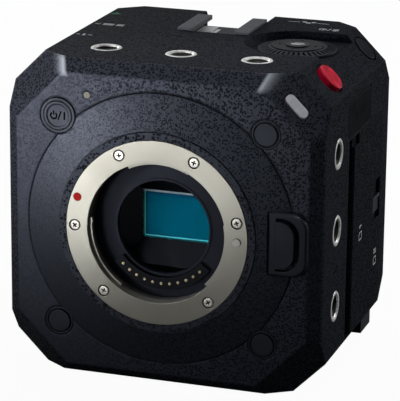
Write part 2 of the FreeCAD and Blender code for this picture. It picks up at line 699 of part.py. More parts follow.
def chassis():
    """Cast inner frame: a tube of the housing's section with a front bulkhead and mount barrel."""
    outer = WALL + FRAME_GAP
    back = REAR_CORNER_Y - FRAME_GAP
    tube = octagon(outer, FRAME_FRONT, back).cut(octagon(outer + FRAME_T, -LIMIT, LIMIT))
    bulkhead = octagon(outer, FRAME_FRONT, FRAME_FRONT + BULKHEAD_T)
    barrel = rod(BARREL_R, V(0, MOUNT_Y + RING_T, AXIS_Z), V(0, 1, 0), FRAME_FRONT + 1 - MOUNT_Y - RING_T)
    body = join([tube, bulkhead, barrel])
    tools = [rod(THROAT_R + 0.2, V(0, -LIMIT, AXIS_Z), V(0, 1, 0), LIMIT)]
    for degrees in SCREW_ANGLES:
        tools.append(pilot(SCREW_SHANK_R + FIT / 2, on_axis(SCREW_CIRCLE_R, degrees, MOUNT_Y), 7.2))
    tools.append(rod(PIN_R + RUN, on_axis(PIN_CIRCLE_R, 0, MOUNT_Y), V(0, 1, 0), 9))
    return cut_all(body, tools + frame_windows() + bush_windows())


def sensor_frame():
    """Light tunnel: a block on the bulkhead with a window that narrows towards the sensor."""
    front, back = FRAME_FRONT + BULKHEAD_T, SENSOR_Y - 0.15
    block = box((-25, 25), (front, back), (AXIS_Z - 22, AXIS_Z + 22))
    posts = [box((x - 1.5, x + 1.5), (back, back + 1.5), (z - 1.5, z + 1.5))
             for x in (-21, 21) for z in (AXIS_Z - 17, AXIS_Z + 17)]
    w, h = SENSOR_W / 2 + FIT, SENSOR_H / 2 + FIT
    tunnel = Part.makeWedge(-17, front - 0.1, AXIS_Z - 14, AXIS_Z - h, -w,
                            17, back - 1.3, AXIS_Z + 14, AXIS_Z + h, w)
    neck = box((-w, w), (back - 1.4, back + 0.1), (AXIS_Z - h, AXIS_Z + h))
    return join([block] + posts).cut(tunnel).cut(neck)


def centred(w, h, y0, y1):
    return box((-w / 2, w / 2), (y0, y1), (AXIS_Z - h / 2, AXIS_Z + h / 2))


def heat_sink():
    base_y = SENSOR_Y + 2.65 + 0.1
    base = centred(46, 38, base_y, base_y + 2)
    fins = []
    for i in range(FIN_COUNT):
        x = -22 + 44.0 * i / (FIN_COUNT - 1)
        fins.append(box((x - 0.5, x + 0.5), (base_y + 1.9, FAN_Y[0] - 0.1), (AXIS_Z - 19, AXIS_Z + 19)))
    return join([base] + fins)


def fan_frame():
    body = centred(44, 44, FAN_Y[0], FAN_Y[1])
    bore = rod(FAN_R + 0.8, V(0, -LIMIT, AXIS_Z), V(0, 1, 0), 2 * LIMIT)
    plate_y = (FAN_Y[1] - 1.0, FAN_Y[1])
    hub = rod(6.0, V(0, plate_y[0], AXIS_Z), V(0, 1, 0), 1.0)
    arms = [box((-19, 19), plate_y, (AXIS_Z - 1.2, AXIS_Z + 1.2)),
            box((-1.2, 1.2), plate_y, (AXIS_Z - 19, AXIS_Z + 19))]
    shaft = rod(1.4, V(0, FAN_Y[0] + 1.2, AXIS_Z), V(0, 1, 0), FAN_Y[1] - FAN_Y[0] - 1.8)
    return join([body.cut(bore), hub, shaft] + arms)


def cooling_fan():
    """Rotor: a hub with thin curved blades, each an arc of a fixed wall swept through the depth."""
    y0, y1 = FAN_Y[0] + 0.5, FAN_Y[1] - 1.4
    hub = rod(6.8, V(0, y0, AXIS_Z), V(0, 1, 0), y1 - y0)
    bore = rod(1.4 + RUN, V(0, FAN_Y[0] + 1.1, AXIS_Z), V(0, 1, 0), LIMIT)
    bend = 11.0
    ring = rod(bend + 0.35, V(12.2, y0, AXIS_Z - 9.0), V(0, 1, 0), y1 - y0)
    ring = ring.cut(rod(bend - 0.35, V(12.2, y0, AXIS_Z - 9.0), V(0, 1, 0), y1 - y0))
    blade = ring.common(rod(FAN_R, V(0, y0, AXIS_Z), V(0, 1, 0), y1 - y0))
    blade = blade.common(box((5, LIMIT), (-LIMIT, LIMIT), (AXIS_Z - 2, LIMIT)))
    blades = []
    for i in range(FAN_BLADES):
        copy = blade.copy()
        copy.rotate(V(0, 0, AXIS_Z), V(0, 1, 0), i * 360.0 / FAN_BLADES)
        blades.append(copy)
    return join([hub] + blades).cut(bore)


def main_board():
    board = octagon(WALL + FRAME_GAP + FRAME_T + FIT, MAIN_BOARD_Y, MAIN_BOARD_Y + BOARD_T)
    keep = box((-LIMIT, HALF - 7.5), (-LIMIT, LIMIT), (-LIMIT, BODY_H - 9))
    board = board.common(keep)
    chips = [box((x, x + w), (MAIN_BOARD_Y + BOARD_T, MAIN_BOARD_Y + BOARD_T + 1.2), (z, z + h))
             for x, z, w, h in ((-12, 40, 18, 18), (-32, 48, 11, 13), (12, 56, 10, 12), (-28, 20, 14, 9))]
    return join([board] + chips)


# Shoe
def shoe_rails():
    """Folded steel channel with inward lips."""
    floor_z = BODY_H - SHOE_DEPTH
    top = BODY_H + SHOE_RISE
    y = (SHOE_Y + FIT, SHOE_Y + FIT + SHOE_LENGTH)
    outer = SHOE_X - FIT
    channel = box((-outer, outer), y, (floor_z, top))
    slot_floor = floor_z + 0.8
    slot = box((-SHOE_SLOT_W / 2, SHOE_SLOT_W / 2), (-LIMIT, LIMIT), (slot_floor, top - SHOE_LIP_T))
    gap = box((-SHOE_GAP / 2, SHOE_GAP / 2), (-LIMIT, LIMIT), (slot_floor, LIMIT * 2))
    return channel.cut(slot).cut(gap)


def shoe_base():
    """Black block in the channel that carries the contacts."""
    low = BODY_H - SHOE_DEPTH + 0.8
    top = BODY_H + SHOE_RISE - SHOE_LIP_T - SHOE_SLOT_H
    half = SHOE_SLOT_W / 2 - FIT
    return box((-half, half), (SHOE_Y + FIT, SHOE_Y + SHOE_LENGTH), (low, top))


def shoe_pads():
    y = SHOE_Y + SHOE_LENGTH * 0.42
    return [(0, y, 1.9), (4.0, y - 3.0, 0.9), (4.0, y + 3.0, 0.9), (-4.0, y - 3.0, 0.9), (-4.0, y + 3.0, 0.9)]


def shoe_contacts():
    top = BODY_H + SHOE_RISE - SHOE_LIP_T - SHOE_SLOT_H
    return Part.makeCompound([rod(r, V(x, y, top), V(0, 0, 1), 0.12) for x, y, r in shoe_pads()])


# Dial group
def control_dial():
    top = BODY_H - DIAL_TOP
    floor_z = BODY_H - RECESS_DEPTH
    low = floor_z + 0.15
    dial = turned_on_dial([(PAD_STEM_R + RUN, floor_z - 2.4), (STEM_R, floor_z - 2.4), (STEM_R, low),
                           (DIAL_R, low), (DIAL_R, low + 0.5), (DIAL_R - 2.6, top), (PAD_R + 0.3, top),
                           (PAD_R + 0.3, top - 0.7), (PAD_STEM_R + RUN, top - 0.7)])
    notch = box((DIAL_X + DIAL_R - 3.0, DIAL_X + DIAL_R + 1), (DIAL_Y - 0.32, DIAL_Y + 0.32),
                (low + 0.55, top + 1))
    notches = []
    for i in range(DIAL_RIBS):
        copy = notch.copy()
        copy.rotate(V(DIAL_X, DIAL_Y, 0), V(0, 0, 1), i * 360.0 / DIAL_RIBS)
        notches.append(copy)
    return dial.cut(Part.makeCompound(notches))


def cursor_pad():
    top = BODY_H - DIAL_TOP
    low = top - 0.7 + 0.4
    floor_z = BODY_H - RECESS_DEPTH
    return turned_on_dial([(SET_STEM_R + RUN, floor_z - 2.0), (PAD_STEM_R, floor_z - 2.0), (PAD_STEM_R, low),
                           (PAD_R, low), (PAD_R, top + 0.25), (SET_R + 0.15, top + 0.25),
                           (SET_R + 0.15, low + 0.15), (SET_STEM_R + RUN, low + 0.15)])


def set_button():
    top = BODY_H - DIAL_TOP + 0.6
    floor_z = BODY_H - RECESS_DEPTH
    return turned_on_dial([(0, floor_z - 1.6), (SET_STEM_R, floor_z - 1.6), (SET_STEM_R, top - 0.4),
                           (SET_R, top - 0.4), (SET_R, top), (0, top)])


# Right side
def vent_grille(side):
    """Duct frame behind a side groove with a louvred back wall."""
    outer = box((BAY_FLOOR_X, HALF - WALL - FIT), (VENT_Y[0] - 0.9, VENT_Y[1] + 0.9),
                (SIDE_OPEN_Z[0] - 0.9, SIDE_OPEN_Z[1] + 0.9))
    hollow = box((BAY_FLOOR_X + 1, HALF), (VENT_Y[0], VENT_Y[1]), (SIDE_OPEN_Z[0], SIDE_OPEN_Z[1]))
    slots = []
    z = SIDE_OPEN_Z[0] + 3
    while z < SIDE_OPEN_Z[1] - 3:
        slots.append(box((BAY_FLOOR_X - 1, BAY_FLOOR_X + 2), (VENT_Y[0] + 1, VENT_Y[1] - 1), (z, z + 2.2)))
        z += 4.4
    grille = outer.cut(hollow).cut(Part.makeCompound(slots)).common(octagon(WALL + FIT, -LIMIT, LIMIT))
    if side < 0:
        grille = grille.mirror(V(0, 0, 0), V(1, 0, 0))
    return grille


def card_door():
    """Flat door with a rounded hinge edge, a finger notch and a pocket for its lock."""
    x = (HALF - DOOR_T, HALF)
    axis_x = HALF - HINGE_R
    axis_y = VENT_Y[1] + 0.2 + HINGE_R
    z = (SIDE_OPEN_Z[0] + 0.15, SIDE_OPEN_Z[1] - 0.15)
    plate = box(x, (axis_y, DOOR_END_Y), z)
    roll = rod(HINGE_R, V(axis_x, axis_y, z[0]), V(0, 0, 1), z[1] - z[0])
    notch = box((HALF - 0.9, LIMIT), (-LIMIT, VENT_Y[1] + 5.2), (z[1] - 3.2, LIMIT))
    pocket = box((HALF - 1.0, LIMIT), LOCK_Y, LOCK_Z)
    return join([plate, roll]).cut(notch).cut(pocket)


def door_lock():
    """Thumb slider in the door's pocket, with a raised rib at its upper end."""
    y = (LOCK_Y[0] + 0.15, LOCK_Y[1] - 0.15)
    z0 = LOCK_Z[0] + 2.4
    plate = box((HALF - 0.9, HALF - 0.4), y, (z0, z0 + LOCK_KNOB_H))
    rib = box((HALF - 0.5, HALF), y, (z0 + LOCK_KNOB_H - 1.0, z0 + LOCK_KNOB_H))
    return join([plate, rib])


def card_bay():
    outer = box((BAY_FLOOR_X - 1.3, HALF - WALL - FIT), BAY_Y, BAY_Z)
    hollow = box((BAY_FLOOR_X, HALF), (BAY_Y[0] + 1.3, BAY_Y[1] - 1.3), (BAY_Z[0] + 1.3, BAY_Z[1] - 1.3))
    z = (BAY_MID_Z - CARD_H / 2, BAY_MID_Z + CARD_H / 2)
    mouths = [box((BAY_FLOOR_X - 3, HALF), y, z) for y in card_slots()]
    return cut_all(outer.cut(hollow), mouths)


def card_slots():
    centres = [BAY_Y[0] + (BAY_Y[1] - BAY_Y[0]) * share for share in (0.318, 0.682)]
    return [(centre - 1.15, centre + 1.15) for centre in centres]


def card_reader():
    x = (BAY_FLOOR_X - 13.3, BAY_FLOOR_X - 1.4)
    block = box(x, (BAY_Y[0] + 3.4, BAY_Y[1] - 3.4), (BAY_MID_Z - 15, BAY_MID_Z + 15))
    z = (BAY_MID_Z - CARD_H / 2, BAY_MID_Z + CARD_H / 2)
    return cut_all(block, [box((x[0] + 1.5, LIMIT), y, z) for y in card_slots()])


def jack_cover():
    """Soft flap hinged along its upper edge."""
    x = (HALF - DOOR_T, HALF)
    axis_x = HALF - HINGE_R
    axis_z = JACK_Z[1] - HINGE_R
    y = (JACK_Y[0] + 0.1, JACK_Y[1] - 0.1)
    plate = box(x, y, (JACK_Z[0] + 0.1, axis_z))
    roll = rod(HINGE_R, V(axis_x, y[0], axis_z), V(0, 1, 0), y[1] - y[0])
    return join([plate, roll])


def audio_jacks():
    y = (JACK_Y[0] + 1.9, JACK_Y[1] - 1.3)
    z = (JACK_Z[0] + 0.9, JACK_Z[1] - 1.0)
    plate = box((HALF - WALL - 1.6, HALF - WALL - FIT), y, z)
    centre_z = (z[0] + z[1]) / 2
    mid_y = (y[0] + y[1]) / 2
    barrels, bores = [], []
    for jack_y in (mid_y - 6, mid_y + 6):
        barrels.append(rod(3.2, V(HALF - 15, jack_y, centre_z), V(1, 0, 0), 12.5))
        bores.append(rod(JACK_R, V(HALF - 14, jack_y, centre_z), V(1, 0, 0), 20))
    return cut_all(join([plate] + barrels), bores)


# Rear
def rear_pocket(x, z, depth, wall=1.4):
    """Tray pushed in from the back, as (solid, hollow)."""
    solid = box((x[0] - wall, x[1] + wall), (REAR_Y - depth - wall, REAR_Y), (z[0] - wall, z[1] + wall))
    hollow = box(x, (REAR_Y - depth, LIMIT), z)
    return solid, hollow


def rear_cover():
    shell = outer_body().common(rear_region(0))
    lip = octagon(WALL + FIT, REAR_CORNER_Y, REAR_Y - REAR_BEVEL).common(outer_body())
    shell = join([shell, lip]).cut(octagon(RIM, -LIMIT, REAR_Y - SHELL_T, RIM_CUT))
    solids, hollows = [], []
    for x, z, depth in ((BATTERY_X, BATTERY_Z, BATTERY_DEPTH), (SOCKET_X, SOCKET_Z, SOCKET_DEPTH)):
        solid, hollow = rear_pocket(x, z, depth)
        solids.append(solid)
        hollows.append(hollow)
    notch = box((-SHOE_X, SHOE_X), (-LIMIT, LIMIT), (BODY_H - SHOE_DEPTH, LIMIT * 2))
    relief = box((-SHOE_X - 1.7, SHOE_X + 1.7), (-LIMIT, REAR_Y - REAR_BEVEL),
                 (BODY_H - SHOE_DEPTH - 1.7, LIMIT * 2))
    shell = join([shell.cut(relief)] + solids)
    hollows.append(notch)
    for z in (UPPER_FLAP_Z, LOWER_FLAP_Z):
        seat = (REAR_Y + PROUD + REAR_INSET - FLAP_T - 0.1, LIMIT)
        hollows.append(box((FLAP_X[0] - 0.1, FLAP_X[1] + 0.1), seat, (z[0] - 0.1, z[1] + 0.1)))
    hollows += [rod(BNC_R + FIT, V(sum(SOCKET_X) / 2, 0, z), V(0, 1, 0), LIMIT) for z in BNC_Z]
    mid = sum(SOCKET_X) / 2
    hollows.append(box((mid - 7.6, mid + 7.6), (0, LIMIT), (HDMI_Z - 3.1, HDMI_Z + 3.1)))
    hollows += [box((x - w / 2 - FIT, x + w / 2 + FIT), (0, LIMIT), (z - h / 2 - FIT, z + h / 2 + FIT))
                for x, z, w, h in flap_sockets()]
    return cut_all(shell, hollows)


def flap_sockets():
    """Sockets behind the rear flaps, as centre x, centre z, width and height."""
    x = sum(FLAP_X) / 2
    return [(x, UPPER_FLAP_Z[0] + 9.5, 9.8, 15.4), (x, UPPER_FLAP_Z[1] - 5.6, 9.8, 4.4),
            (x, sum(LOWER_FLAP_Z) / 2, 9.8, 11.0)]


def port_sockets():
    """Network, data, power and video sockets."""
    back = PORT_BOARD_Y + BOARD_T
    front = REAR_Y + PROUD + REAR_INSET - FLAP_T - 0.3
    bodies = []
    for (x, z, w, h), (mouth_w, mouth_h) in zip(flap_sockets()[:2], ((8.2, 11.8), (8.4, 2.6))):
        body = box((x - w / 2, x + w / 2), (back, front), (z - h / 2, z + h / 2))
        mouth = box((x - mouth_w / 2, x + mouth_w / 2), (front - 9.5, LIMIT),
                    (z - mouth_h / 2, z + mouth_h / 2))
        bodies.append(body.cut(mouth))
    x, z, w, h = flap_sockets()[2]
    jack = box((x - w / 2, x + w / 2), (back, front), (z - h / 2, z + h / 2))
    well = box((x - 3.4, x + 3.4), (front - 9, LIMIT), (z - 3.4, z + 3.4))
    pin = box((x - 0.8, x + 0.8), (front - 9.2, front - 1.2), (z - 0.8, z + 0.8))
    bodies.append(join([jack.cut(well), pin]))
    mid = sum(SOCKET_X) / 2
    hdmi_front = REAR_Y - SOCKET_DEPTH + 0.6
    hdmi = box((mid - 7.5, mid + 7.5), (back, hdmi_front), (HDMI_Z - 3.0, HDMI_Z + 3.0))
    mouth = box((mid - 7.0, mid + 7.0), (hdmi_front - 4.0, LIMIT), (HDMI_Z - 2.3, HDMI_Z + 2.3))
    tongue = box((mid - 5.6, mid + 5.6), (hdmi_front - 4.2, hdmi_front - 0.6), (HDMI_Z - 0.4, HDMI_Z + 0.8))
    bodies.append(join([hdmi.cut(mouth), tongue]))
    return Part.makeCompound(bodies)


def bnc_socket(z):
    """Bayonet cable socket with two side studs and an insulator."""
    x = sum(SOCKET_X) / 2
    back = PORT_BOARD_Y + BOARD_T
    front = REAR_Y + 0.1
    shell = rod(BNC_R, V(x, back, z), V(0, 1, 0), front - back)
    shell = shell.cut(rod(BNC_R - 0.7, V(x, front - 5, z), V(0, 1, 0), 6))
    core = rod(2.4, V(x, front - 5.1, z), V(0, 1, 0), 4.3)
    studs = [box(sorted((x + side * (BNC_R - 0.3), x + side * (BNC_R + 1.0))), (front - 4.2, front - 2.6),
                 (z - 0.8, z + 0.8)) for side in (-1, 1)]
    return join([shell, core] + studs)


def port_board():
    y = (PORT_BOARD_Y, PORT_BOARD_Y + BOARD_T)
    return box((SOCKET_X[0] - 2.5, FLAP_X[1] - 6.0), y, (9.0, BODY_H - 18))


def port_flap(z):
    """Rubber flap over the sockets, hinged along its inner edge."""
    y = (REAR_Y + PROUD + REAR_INSET - FLAP_T, REAR_Y + PROUD + REAR_INSET)
    r = FLAP_T / 2
    axis_x = FLAP_X[0] + 0.1 + r
    plate = box((axis_x, FLAP_X[1] - 0.1), y, (z[0] + 0.1, z[1] - 0.1))
    roll = rod(r, V(axis_x, y[0] + r, z[0] + 0.1), V(0, 0, 1), z[1] - z[0] - 0.2)
    return join([plate, roll])


def battery_plate():
    """Plate in the battery bay with two undercut rails."""
    floor_y = REAR_Y - BATTERY_DEPTH
    x = (BATTERY_X[0] + 3, BATTERY_X[1] - 3)
    z = (BATTERY_Z[0] + 3, BATTERY_Z[1] - 12)
    plate = box(x, (floor_y, floor_y + 2), z)
    rails = []
    for side, rail_x in ((1, x[0]), (-1, x[1])):
        web = sorted((rail_x, rail_x + side * 2))
        lip = sorted((rail_x, rail_x + side * 4))
        for low, high in ((z[0] + 6, z[0] + 20), (z[1] - 20, z[1] - 6)):
            rails.append(box(web, (floor_y + 1.9, floor_y + 6), (low, high)))
            rails.append(box(lip, (floor_y + 4.6, floor_y + 6), (low, high)))
    return join([plate] + rails)


def battery_terminals():
    floor_y = REAR_Y - BATTERY_DEPTH + 2
    x0 = sum(BATTERY_X) / 2
    block = box((x0 - 9, x0 + 9), (floor_y, floor_y + 3.4), (BATTERY_Z[0] + 4, BATTERY_Z[0] + 8.6))
    blades = [box((x0 + dx - 0.4, x0 + dx + 0.4), (floor_y + 0.6, floor_y + 2.8),
                  (BATTERY_Z[0] + 8.5, BATTERY_Z[0] + 13)) for dx in (-6, -2, 2, 6)]
    return join([block] + blades)


def battery_latch():
    floor_y = REAR_Y - BATTERY_DEPTH
    x0 = sum(BATTERY_X) / 2
    z = (BATTERY_Z[1] - 8, BATTERY_Z[1] - 1)
    slider = box((x0 - 6, x0 + 6), (floor_y + 0.15, floor_y + 4.5), z)
    ribs = [box((x0 - 5, x0 + 5), (floor_y + 4.4, floor_y + 5.1), (z[0] + s, z[0] + s + 0.8))
            for s in (1.2, 3.1, 5.0)]
    return join([slider] + ribs)


def rear_feet():
    feet = []
    for side in (1, -1):
        x = sorted((side * FOOT_X[0], side * FOOT_X[1]))
        block = box(x, FOOT_Y, (0, FOOT_H))
        feet.append(block.cut(octagon(0, -LIMIT, LIMIT)))
    return Part.makeCompound(feet)


def save(name, shape):
    shape.exportStep(os.path.join("parts", name + ".step"))


def build():
    os.makedirs("parts", exist_ok=True)
    ring = cover_ring()
    power = corner_site(-1, 1, FACE_Y - 0.45)
    caps = [screw_cap(sx, sz) for sx, sz in ((1, 1), (1, -1), (-1, -1))]
    bezel = rod(BEZEL_R, corner_site(-1, 1, FACE_Y - 0.3), V(0, 1, 0), PANEL_SEAT + 0.3)
    key = join([rod(POWER_R, power, V(0, 1, 0), SHELL_T + 1.2),
                rod(POWER_R + 0.6, power + V(0, SHELL_T + 0.6, 0), V(0, 1, 0), 0.6)])
    key = key.cut(rod(POWER_DISH_R, power - V(0, 1, 0), V(0, 1, 0), 1.25))
    pin = rod(PIN_R, on_axis(PIN_CIRCLE_R, 0, MOUNT_Y - PROUD), V(0, 1, 0), 6.5)
    led = rod(LED_R, on_axis(PANEL_R + LED_OUT, LED_ANGLE, FACE_Y - 0.1), V(0, 1, 0), SHELL_T + 0.2)
    dot = rod(DOT_R, on_axis(DOT_CIRCLE_R, DOT_ANGLE, MOUNT_Y + 0.05), V(0, 1, 0), 0.3)
    glass_y = SENSOR_Y - 0.25
    mics = [rod(2.0, V(side * MIC_X, MIC_Y, BODY_H - WALL - 1.8), V(0, 0, 1), 1.75) for side in (-1, 1)]
    nodes = {
        "front_shell": front_shell(),
        "mount_panel": mount_panel(),
        "mount_collar": mount_collar(),
        "lens_mount_ring": lens_mount_ring(),
        "mount_screws": Part.makeCompound([mount_screw(a) for a in SCREW_ANGLES]),
        "index_mark": dot,
        "lens_lock_pin": pin,
        "release_guard": release_guard(),
        "lens_release_button": release_button(),
        "contact_block": contact_block(),
        "contact_pins": contact_pins(),
        "light_baffle": light_baffle(),
        "sensor_frame": sensor_frame(),
        "sensor_glass": centred(SENSOR_W, SENSOR_H, glass_y - 0.9, glass_y),
        "sensor_chip": centred(24, 18, SENSOR_Y, SENSOR_Y + 1.3),
        "sensor_board": centred(48, 40, SENSOR_Y + 1.4, SENSOR_Y + 1.4 + BOARD_T),
        "heat_sink": heat_sink(),
        "fan_frame": fan_frame(),
        "cooling_fan": cooling_fan(),
        "main_board": main_board(),
        "chassis": chassis(),
        "top_cover": top_cover(ring),
        "right_cover": side_cover(ring, 1),
        "left_cover": side_cover(ring, -1),
        "bottom_cover": bottom_cover(ring),
        "rear_cover": rear_cover(),
        "threaded_bushes": Part.makeCompound([bush(m, f) for m, f in bush_sites()]),
        "hot_shoe_rails": shoe_rails(),
        "shoe_base": shoe_base(),
        "shoe_contacts": shoe_contacts(),
        "control_dial": control_dial(),
        "cursor_pad": cursor_pad(),
        "set_button": set_button(),
        "rec_button": bevel_button(1, REC_Y, REC_R, REC_PROUD),
        "playback_button": bevel_button(1, PLAY_Y, SMALL_BUTTON_R, 0.15),
        "function_button": bevel_button(-1, LEFT_BUTTON_Y[0], SMALL_BUTTON_R, 0.15),
        "quick_menu_button": bevel_button(-1, LEFT_BUTTON_Y[1], SMALL_BUTTON_R, 0.15),
        "wireless_button": bevel_button(-1, LEFT_BUTTON_Y[2], SMALL_BUTTON_R, 0.15),
        "power_button": key,
        "power_bezel": bezel.cut(rod(POWER_R + RUN, power - V(0, 1, 0), V(0, 1, 0), 6)),
        "power_led": led,
        "screw_caps": Part.makeCompound(caps),
        "tally_lamp": tally_lamp(),
        "vent_grilles": Part.makeCompound([vent_grille(1), vent_grille(-1)]),
        "card_door": card_door(),
        "door_lock": door_lock(),
        "card_bay": card_bay(),
        "card_reader": card_reader(),
        "jack_cover": jack_cover(),
        "audio_jacks": audio_jacks(),
        "upper_port_flap": port_flap(UPPER_FLAP_Z),
        "lower_port_flap": port_flap(LOWER_FLAP_Z),
        "port_sockets": port_sockets(),
        "bnc_sockets": Part.makeCompound([bnc_socket(z) for z in BNC_Z]),
        "port_board": port_board(),
        "battery_plate": battery_plate(),
        "battery_terminals": battery_terminals(),
        "battery_latch": battery_latch(),
        "microphones": Part.makeCompound(mics),
        "rear_feet": rear_feet(),
    }
    for name, shape in nodes.items():
        save(name, shape)
        print(name, len(shape.Solids), shape.isValid(), round(shape.Volume, 1))
    print(len(nodes), "nodes")


build()
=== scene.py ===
import json
import math

import bpy
from mathutils import Matrix, Vector


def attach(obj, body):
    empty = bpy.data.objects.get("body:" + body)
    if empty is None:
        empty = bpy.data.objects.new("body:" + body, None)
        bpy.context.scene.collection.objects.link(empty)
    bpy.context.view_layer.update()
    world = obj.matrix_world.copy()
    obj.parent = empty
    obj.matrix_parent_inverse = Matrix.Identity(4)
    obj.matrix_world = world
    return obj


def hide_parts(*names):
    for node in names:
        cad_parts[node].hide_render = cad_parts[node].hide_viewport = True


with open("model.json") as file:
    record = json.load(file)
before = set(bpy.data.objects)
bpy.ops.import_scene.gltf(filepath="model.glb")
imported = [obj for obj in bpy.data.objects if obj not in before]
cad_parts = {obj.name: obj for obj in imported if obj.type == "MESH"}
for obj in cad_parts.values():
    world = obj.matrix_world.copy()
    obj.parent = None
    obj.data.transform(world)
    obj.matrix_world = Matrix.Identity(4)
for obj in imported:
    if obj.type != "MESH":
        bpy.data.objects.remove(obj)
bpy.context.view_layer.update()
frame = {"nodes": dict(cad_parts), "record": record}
node = frame["nodes"]

# Camera. A long lens from the front, a little to the right and above, with the slight tilt of the
# photograph. The three directions and the place are those that its edges give.
camera_data = bpy.data.cameras.new("camera")
camera_data.sensor_fit = "VERTICAL"
camera_data.sensor_height = 36.0
camera_data.lens = 219.16
camera_data.clip_start = 0.05
camera_data.clip_end = 20.0
camera = bpy.data.objects.new("camera", camera_data)
bpy.context.scene.collection.objects.link(camera)
right = Vector((0.94912802, 0.31473170, 0.00999814))
up = Vector((-0.09939418, 0.26931025, 0.95791064))
back = Vector((0.29879224, -0.91017358, 0.28689241))
camera.matrix_world = Matrix((right, up, back)).transposed().to_4x4()
camera.location = (0.21348383, -0.65021758, 0.24983950)
bpy.context.scene.camera = camera
bpy.context.scene.view_settings.view_transform = "Standard"


# Studio. The eye and clear glass see a plain white room. Gloss and metal see the same room as it
# is lit: bright at the left and in front, falling off to the right and behind.
def arithmetic(tree, operation, *terms):
    """Result of a sum on sockets and plain numbers."""
    working = tree.nodes.new("ShaderNodeMath")
    working.operation = operation
    for socket, term in zip(working.inputs, terms):
        if isinstance(term, (int, float)):
            socket.default_value = term
        else:
            tree.links.new(term, socket)
    return working.outputs[0]


def remap(tree, value, low, high, out_low=0.0, out_high=1.0, ease="LINEAR"):
    """Stretch a value from one range to another and hold it there."""
    ramp = tree.nodes.new("ShaderNodeMapRange")
    ramp.interpolation_type = ease
    ramp.inputs["From Min"].default_value = low
    ramp.inputs["From Max"].default_value = high
    ramp.inputs["To Min"].default_value = out_low
    ramp.inputs["To Max"].default_value = out_high
    tree.links.new(value, ramp.inputs["Value"])
    return ramp.outputs["Result"]


def pass_over(tree, share, first, second):
    """Shader that goes over from the first to the second as the share goes from 0 to 1."""
    mix = tree.nodes.new("ShaderNodeMixShader")
    for socket, value in zip(mix.inputs, (share, first, second)):
        tree.links.new(value, socket)
    return mix.outputs[0]


world = bpy.data.worlds.new("studio")
bpy.context.scene.world = world
world.use_nodes = True
tree = world.node_tree
fill = tree.nodes["Background"]
fill.inputs["Color"].default_value = (0.76, 0.85, 1.0, 1)
fill.inputs["Strength"].default_value = 0.06
white_room = tree.nodes.new("ShaderNodeBackground")
white_room.inputs["Color"].default_value = (1, 1, 1, 1)
lit_room = tree.nodes.new("ShaderNodeBackground")
lit_room.inputs["Color"].default_value = (0.95, 0.98, 1.0, 1)
direction = tree.nodes.new("ShaderNodeTexCoord")
toward_window = tree.nodes.new("ShaderNodeVectorMath")
toward_window.operation = "DOT_PRODUCT"
toward_window.inputs[1].default_value = (-0.75, -0.60, 0.28)
tree.links.new(direction.outputs["Generated"], toward_window.inputs[0])
fall_off = remap(tree, toward_window.outputs["Value"], 0.3, 1.0, 0.005, 0.30, "SMOOTHSTEP")
tree.links.new(fall_off, lit_room.inputs["Strength"])
path = tree.nodes.new("ShaderNodeLightPath")
seen = arithmetic(tree, "MAXIMUM", path.outputs["Is Camera Ray"],
                  path.outputs["Is Transmission Ray"])
unseen = pass_over(tree, path.outputs["Is Glossy Ray"], fill.outputs[0], lit_room.outputs[0])
room = pass_over(tree, seen, unseen, white_room.outputs[0])
tree.links.new(room, tree.nodes["World Output"].inputs["Surface"])


def softbox(name, place, target, width, height, power, spread=180):
    """Rectangular lamp aimed at a point on the object, with a grid that narrows its spread."""
    lamp = bpy.data.lights.new(name, "AREA")
    lamp.shape = "RECTANGLE"
    lamp.size = width
    lamp.size_y = height
    lamp.energy = power
    lamp.spread = math.radians(spread)
    thing = bpy.data.objects.new(name, lamp)
    bpy.context.scene.collection.objects.link(thing)
    thing.location = place
    aim = Vector(target) - Vector(place)
    thing.rotation_euler = aim.to_track_quat("-Z", "Y").to_euler()
    thing.visible_camera = False


softbox("key_lamp", (-0.22, -0.26, 0.10), (-0.038, -0.035, 0.078), 0.06, 0.06, 0.0130, 20)
softbox("low_lamp", (-0.13, -0.32, 0.02), (-0.035, -0.035, 0.072), 0.07, 0.07, 0.0095, 25)
softbox("wide_lamp", (-0.12, -0.32, 0.05), (-0.032, -0.035, 0.072), 0.12, 0.12, 0.0165, 50)
softbox("left_strip", (-0.271, -0.112, 0.33), (-0.030, -0.034, 0.090), 0.04, 0.08, 0.0040, 9)
softbox("right_strip", (0.12, -0.21, 0.42), (0.030, -0.034, 0.090), 0.04, 0.08, 0.0035, 9)
softbox("overhead", (-0.05, 0.28, 0.45), (0, 0.02, 0.09), 0.7, 0.3, 0.85)
softbox("back_strip", (-0.15, 0.455, 0.237), (0, 0, 0.093), 0.2, 0.12, 0.03)
softbox("right_lamp", (0.45, 0.42, 0.20), (0.0465, 0, 0.05), 0.2, 0.3, 1.7)
softbox("corner_lamp", (0.45, -0.35, 0.35), (0.0465, -0.02, 0.06), 0.15, 0.15, 0.006, 60)
softbox("rear_lamp", (-0.60, 0.62, 0.15), (-0.02, 0.02, 0.05), 0.4, 0.4, 4.0)


# Floor: a plain pale sheet under the feet. The eye sees it nearly white, gloss sees a little light
# on it in front, and for all other light it is dark grey, so that it throws little light up.
def blend_colour(tree, factor, first, second):
    """Mix of two colours, each a colour or a socket."""
    mix = tree.nodes.new("ShaderNodeMix")
    mix.data_type = "RGBA"
    tree.links.new(factor, mix.inputs["Factor"])
    for socket, value in ((mix.inputs["A"], first), (mix.inputs["B"], second)):
        if isinstance(value, tuple):
            socket.default_value = (*value, 1)
        else:
            tree.links.new(value, socket)
    return mix.outputs["Result"]


def place_on(tree):
    """Place of the point that is seen, in metres, as the sockets X, Y and Z."""
    place = tree.nodes.new("ShaderNodeTexCoord")
    split = tree.nodes.new("ShaderNodeSeparateXYZ")
    tree.links.new(place.outputs["Object"], split.inputs["Vector"])
    return split.outputs


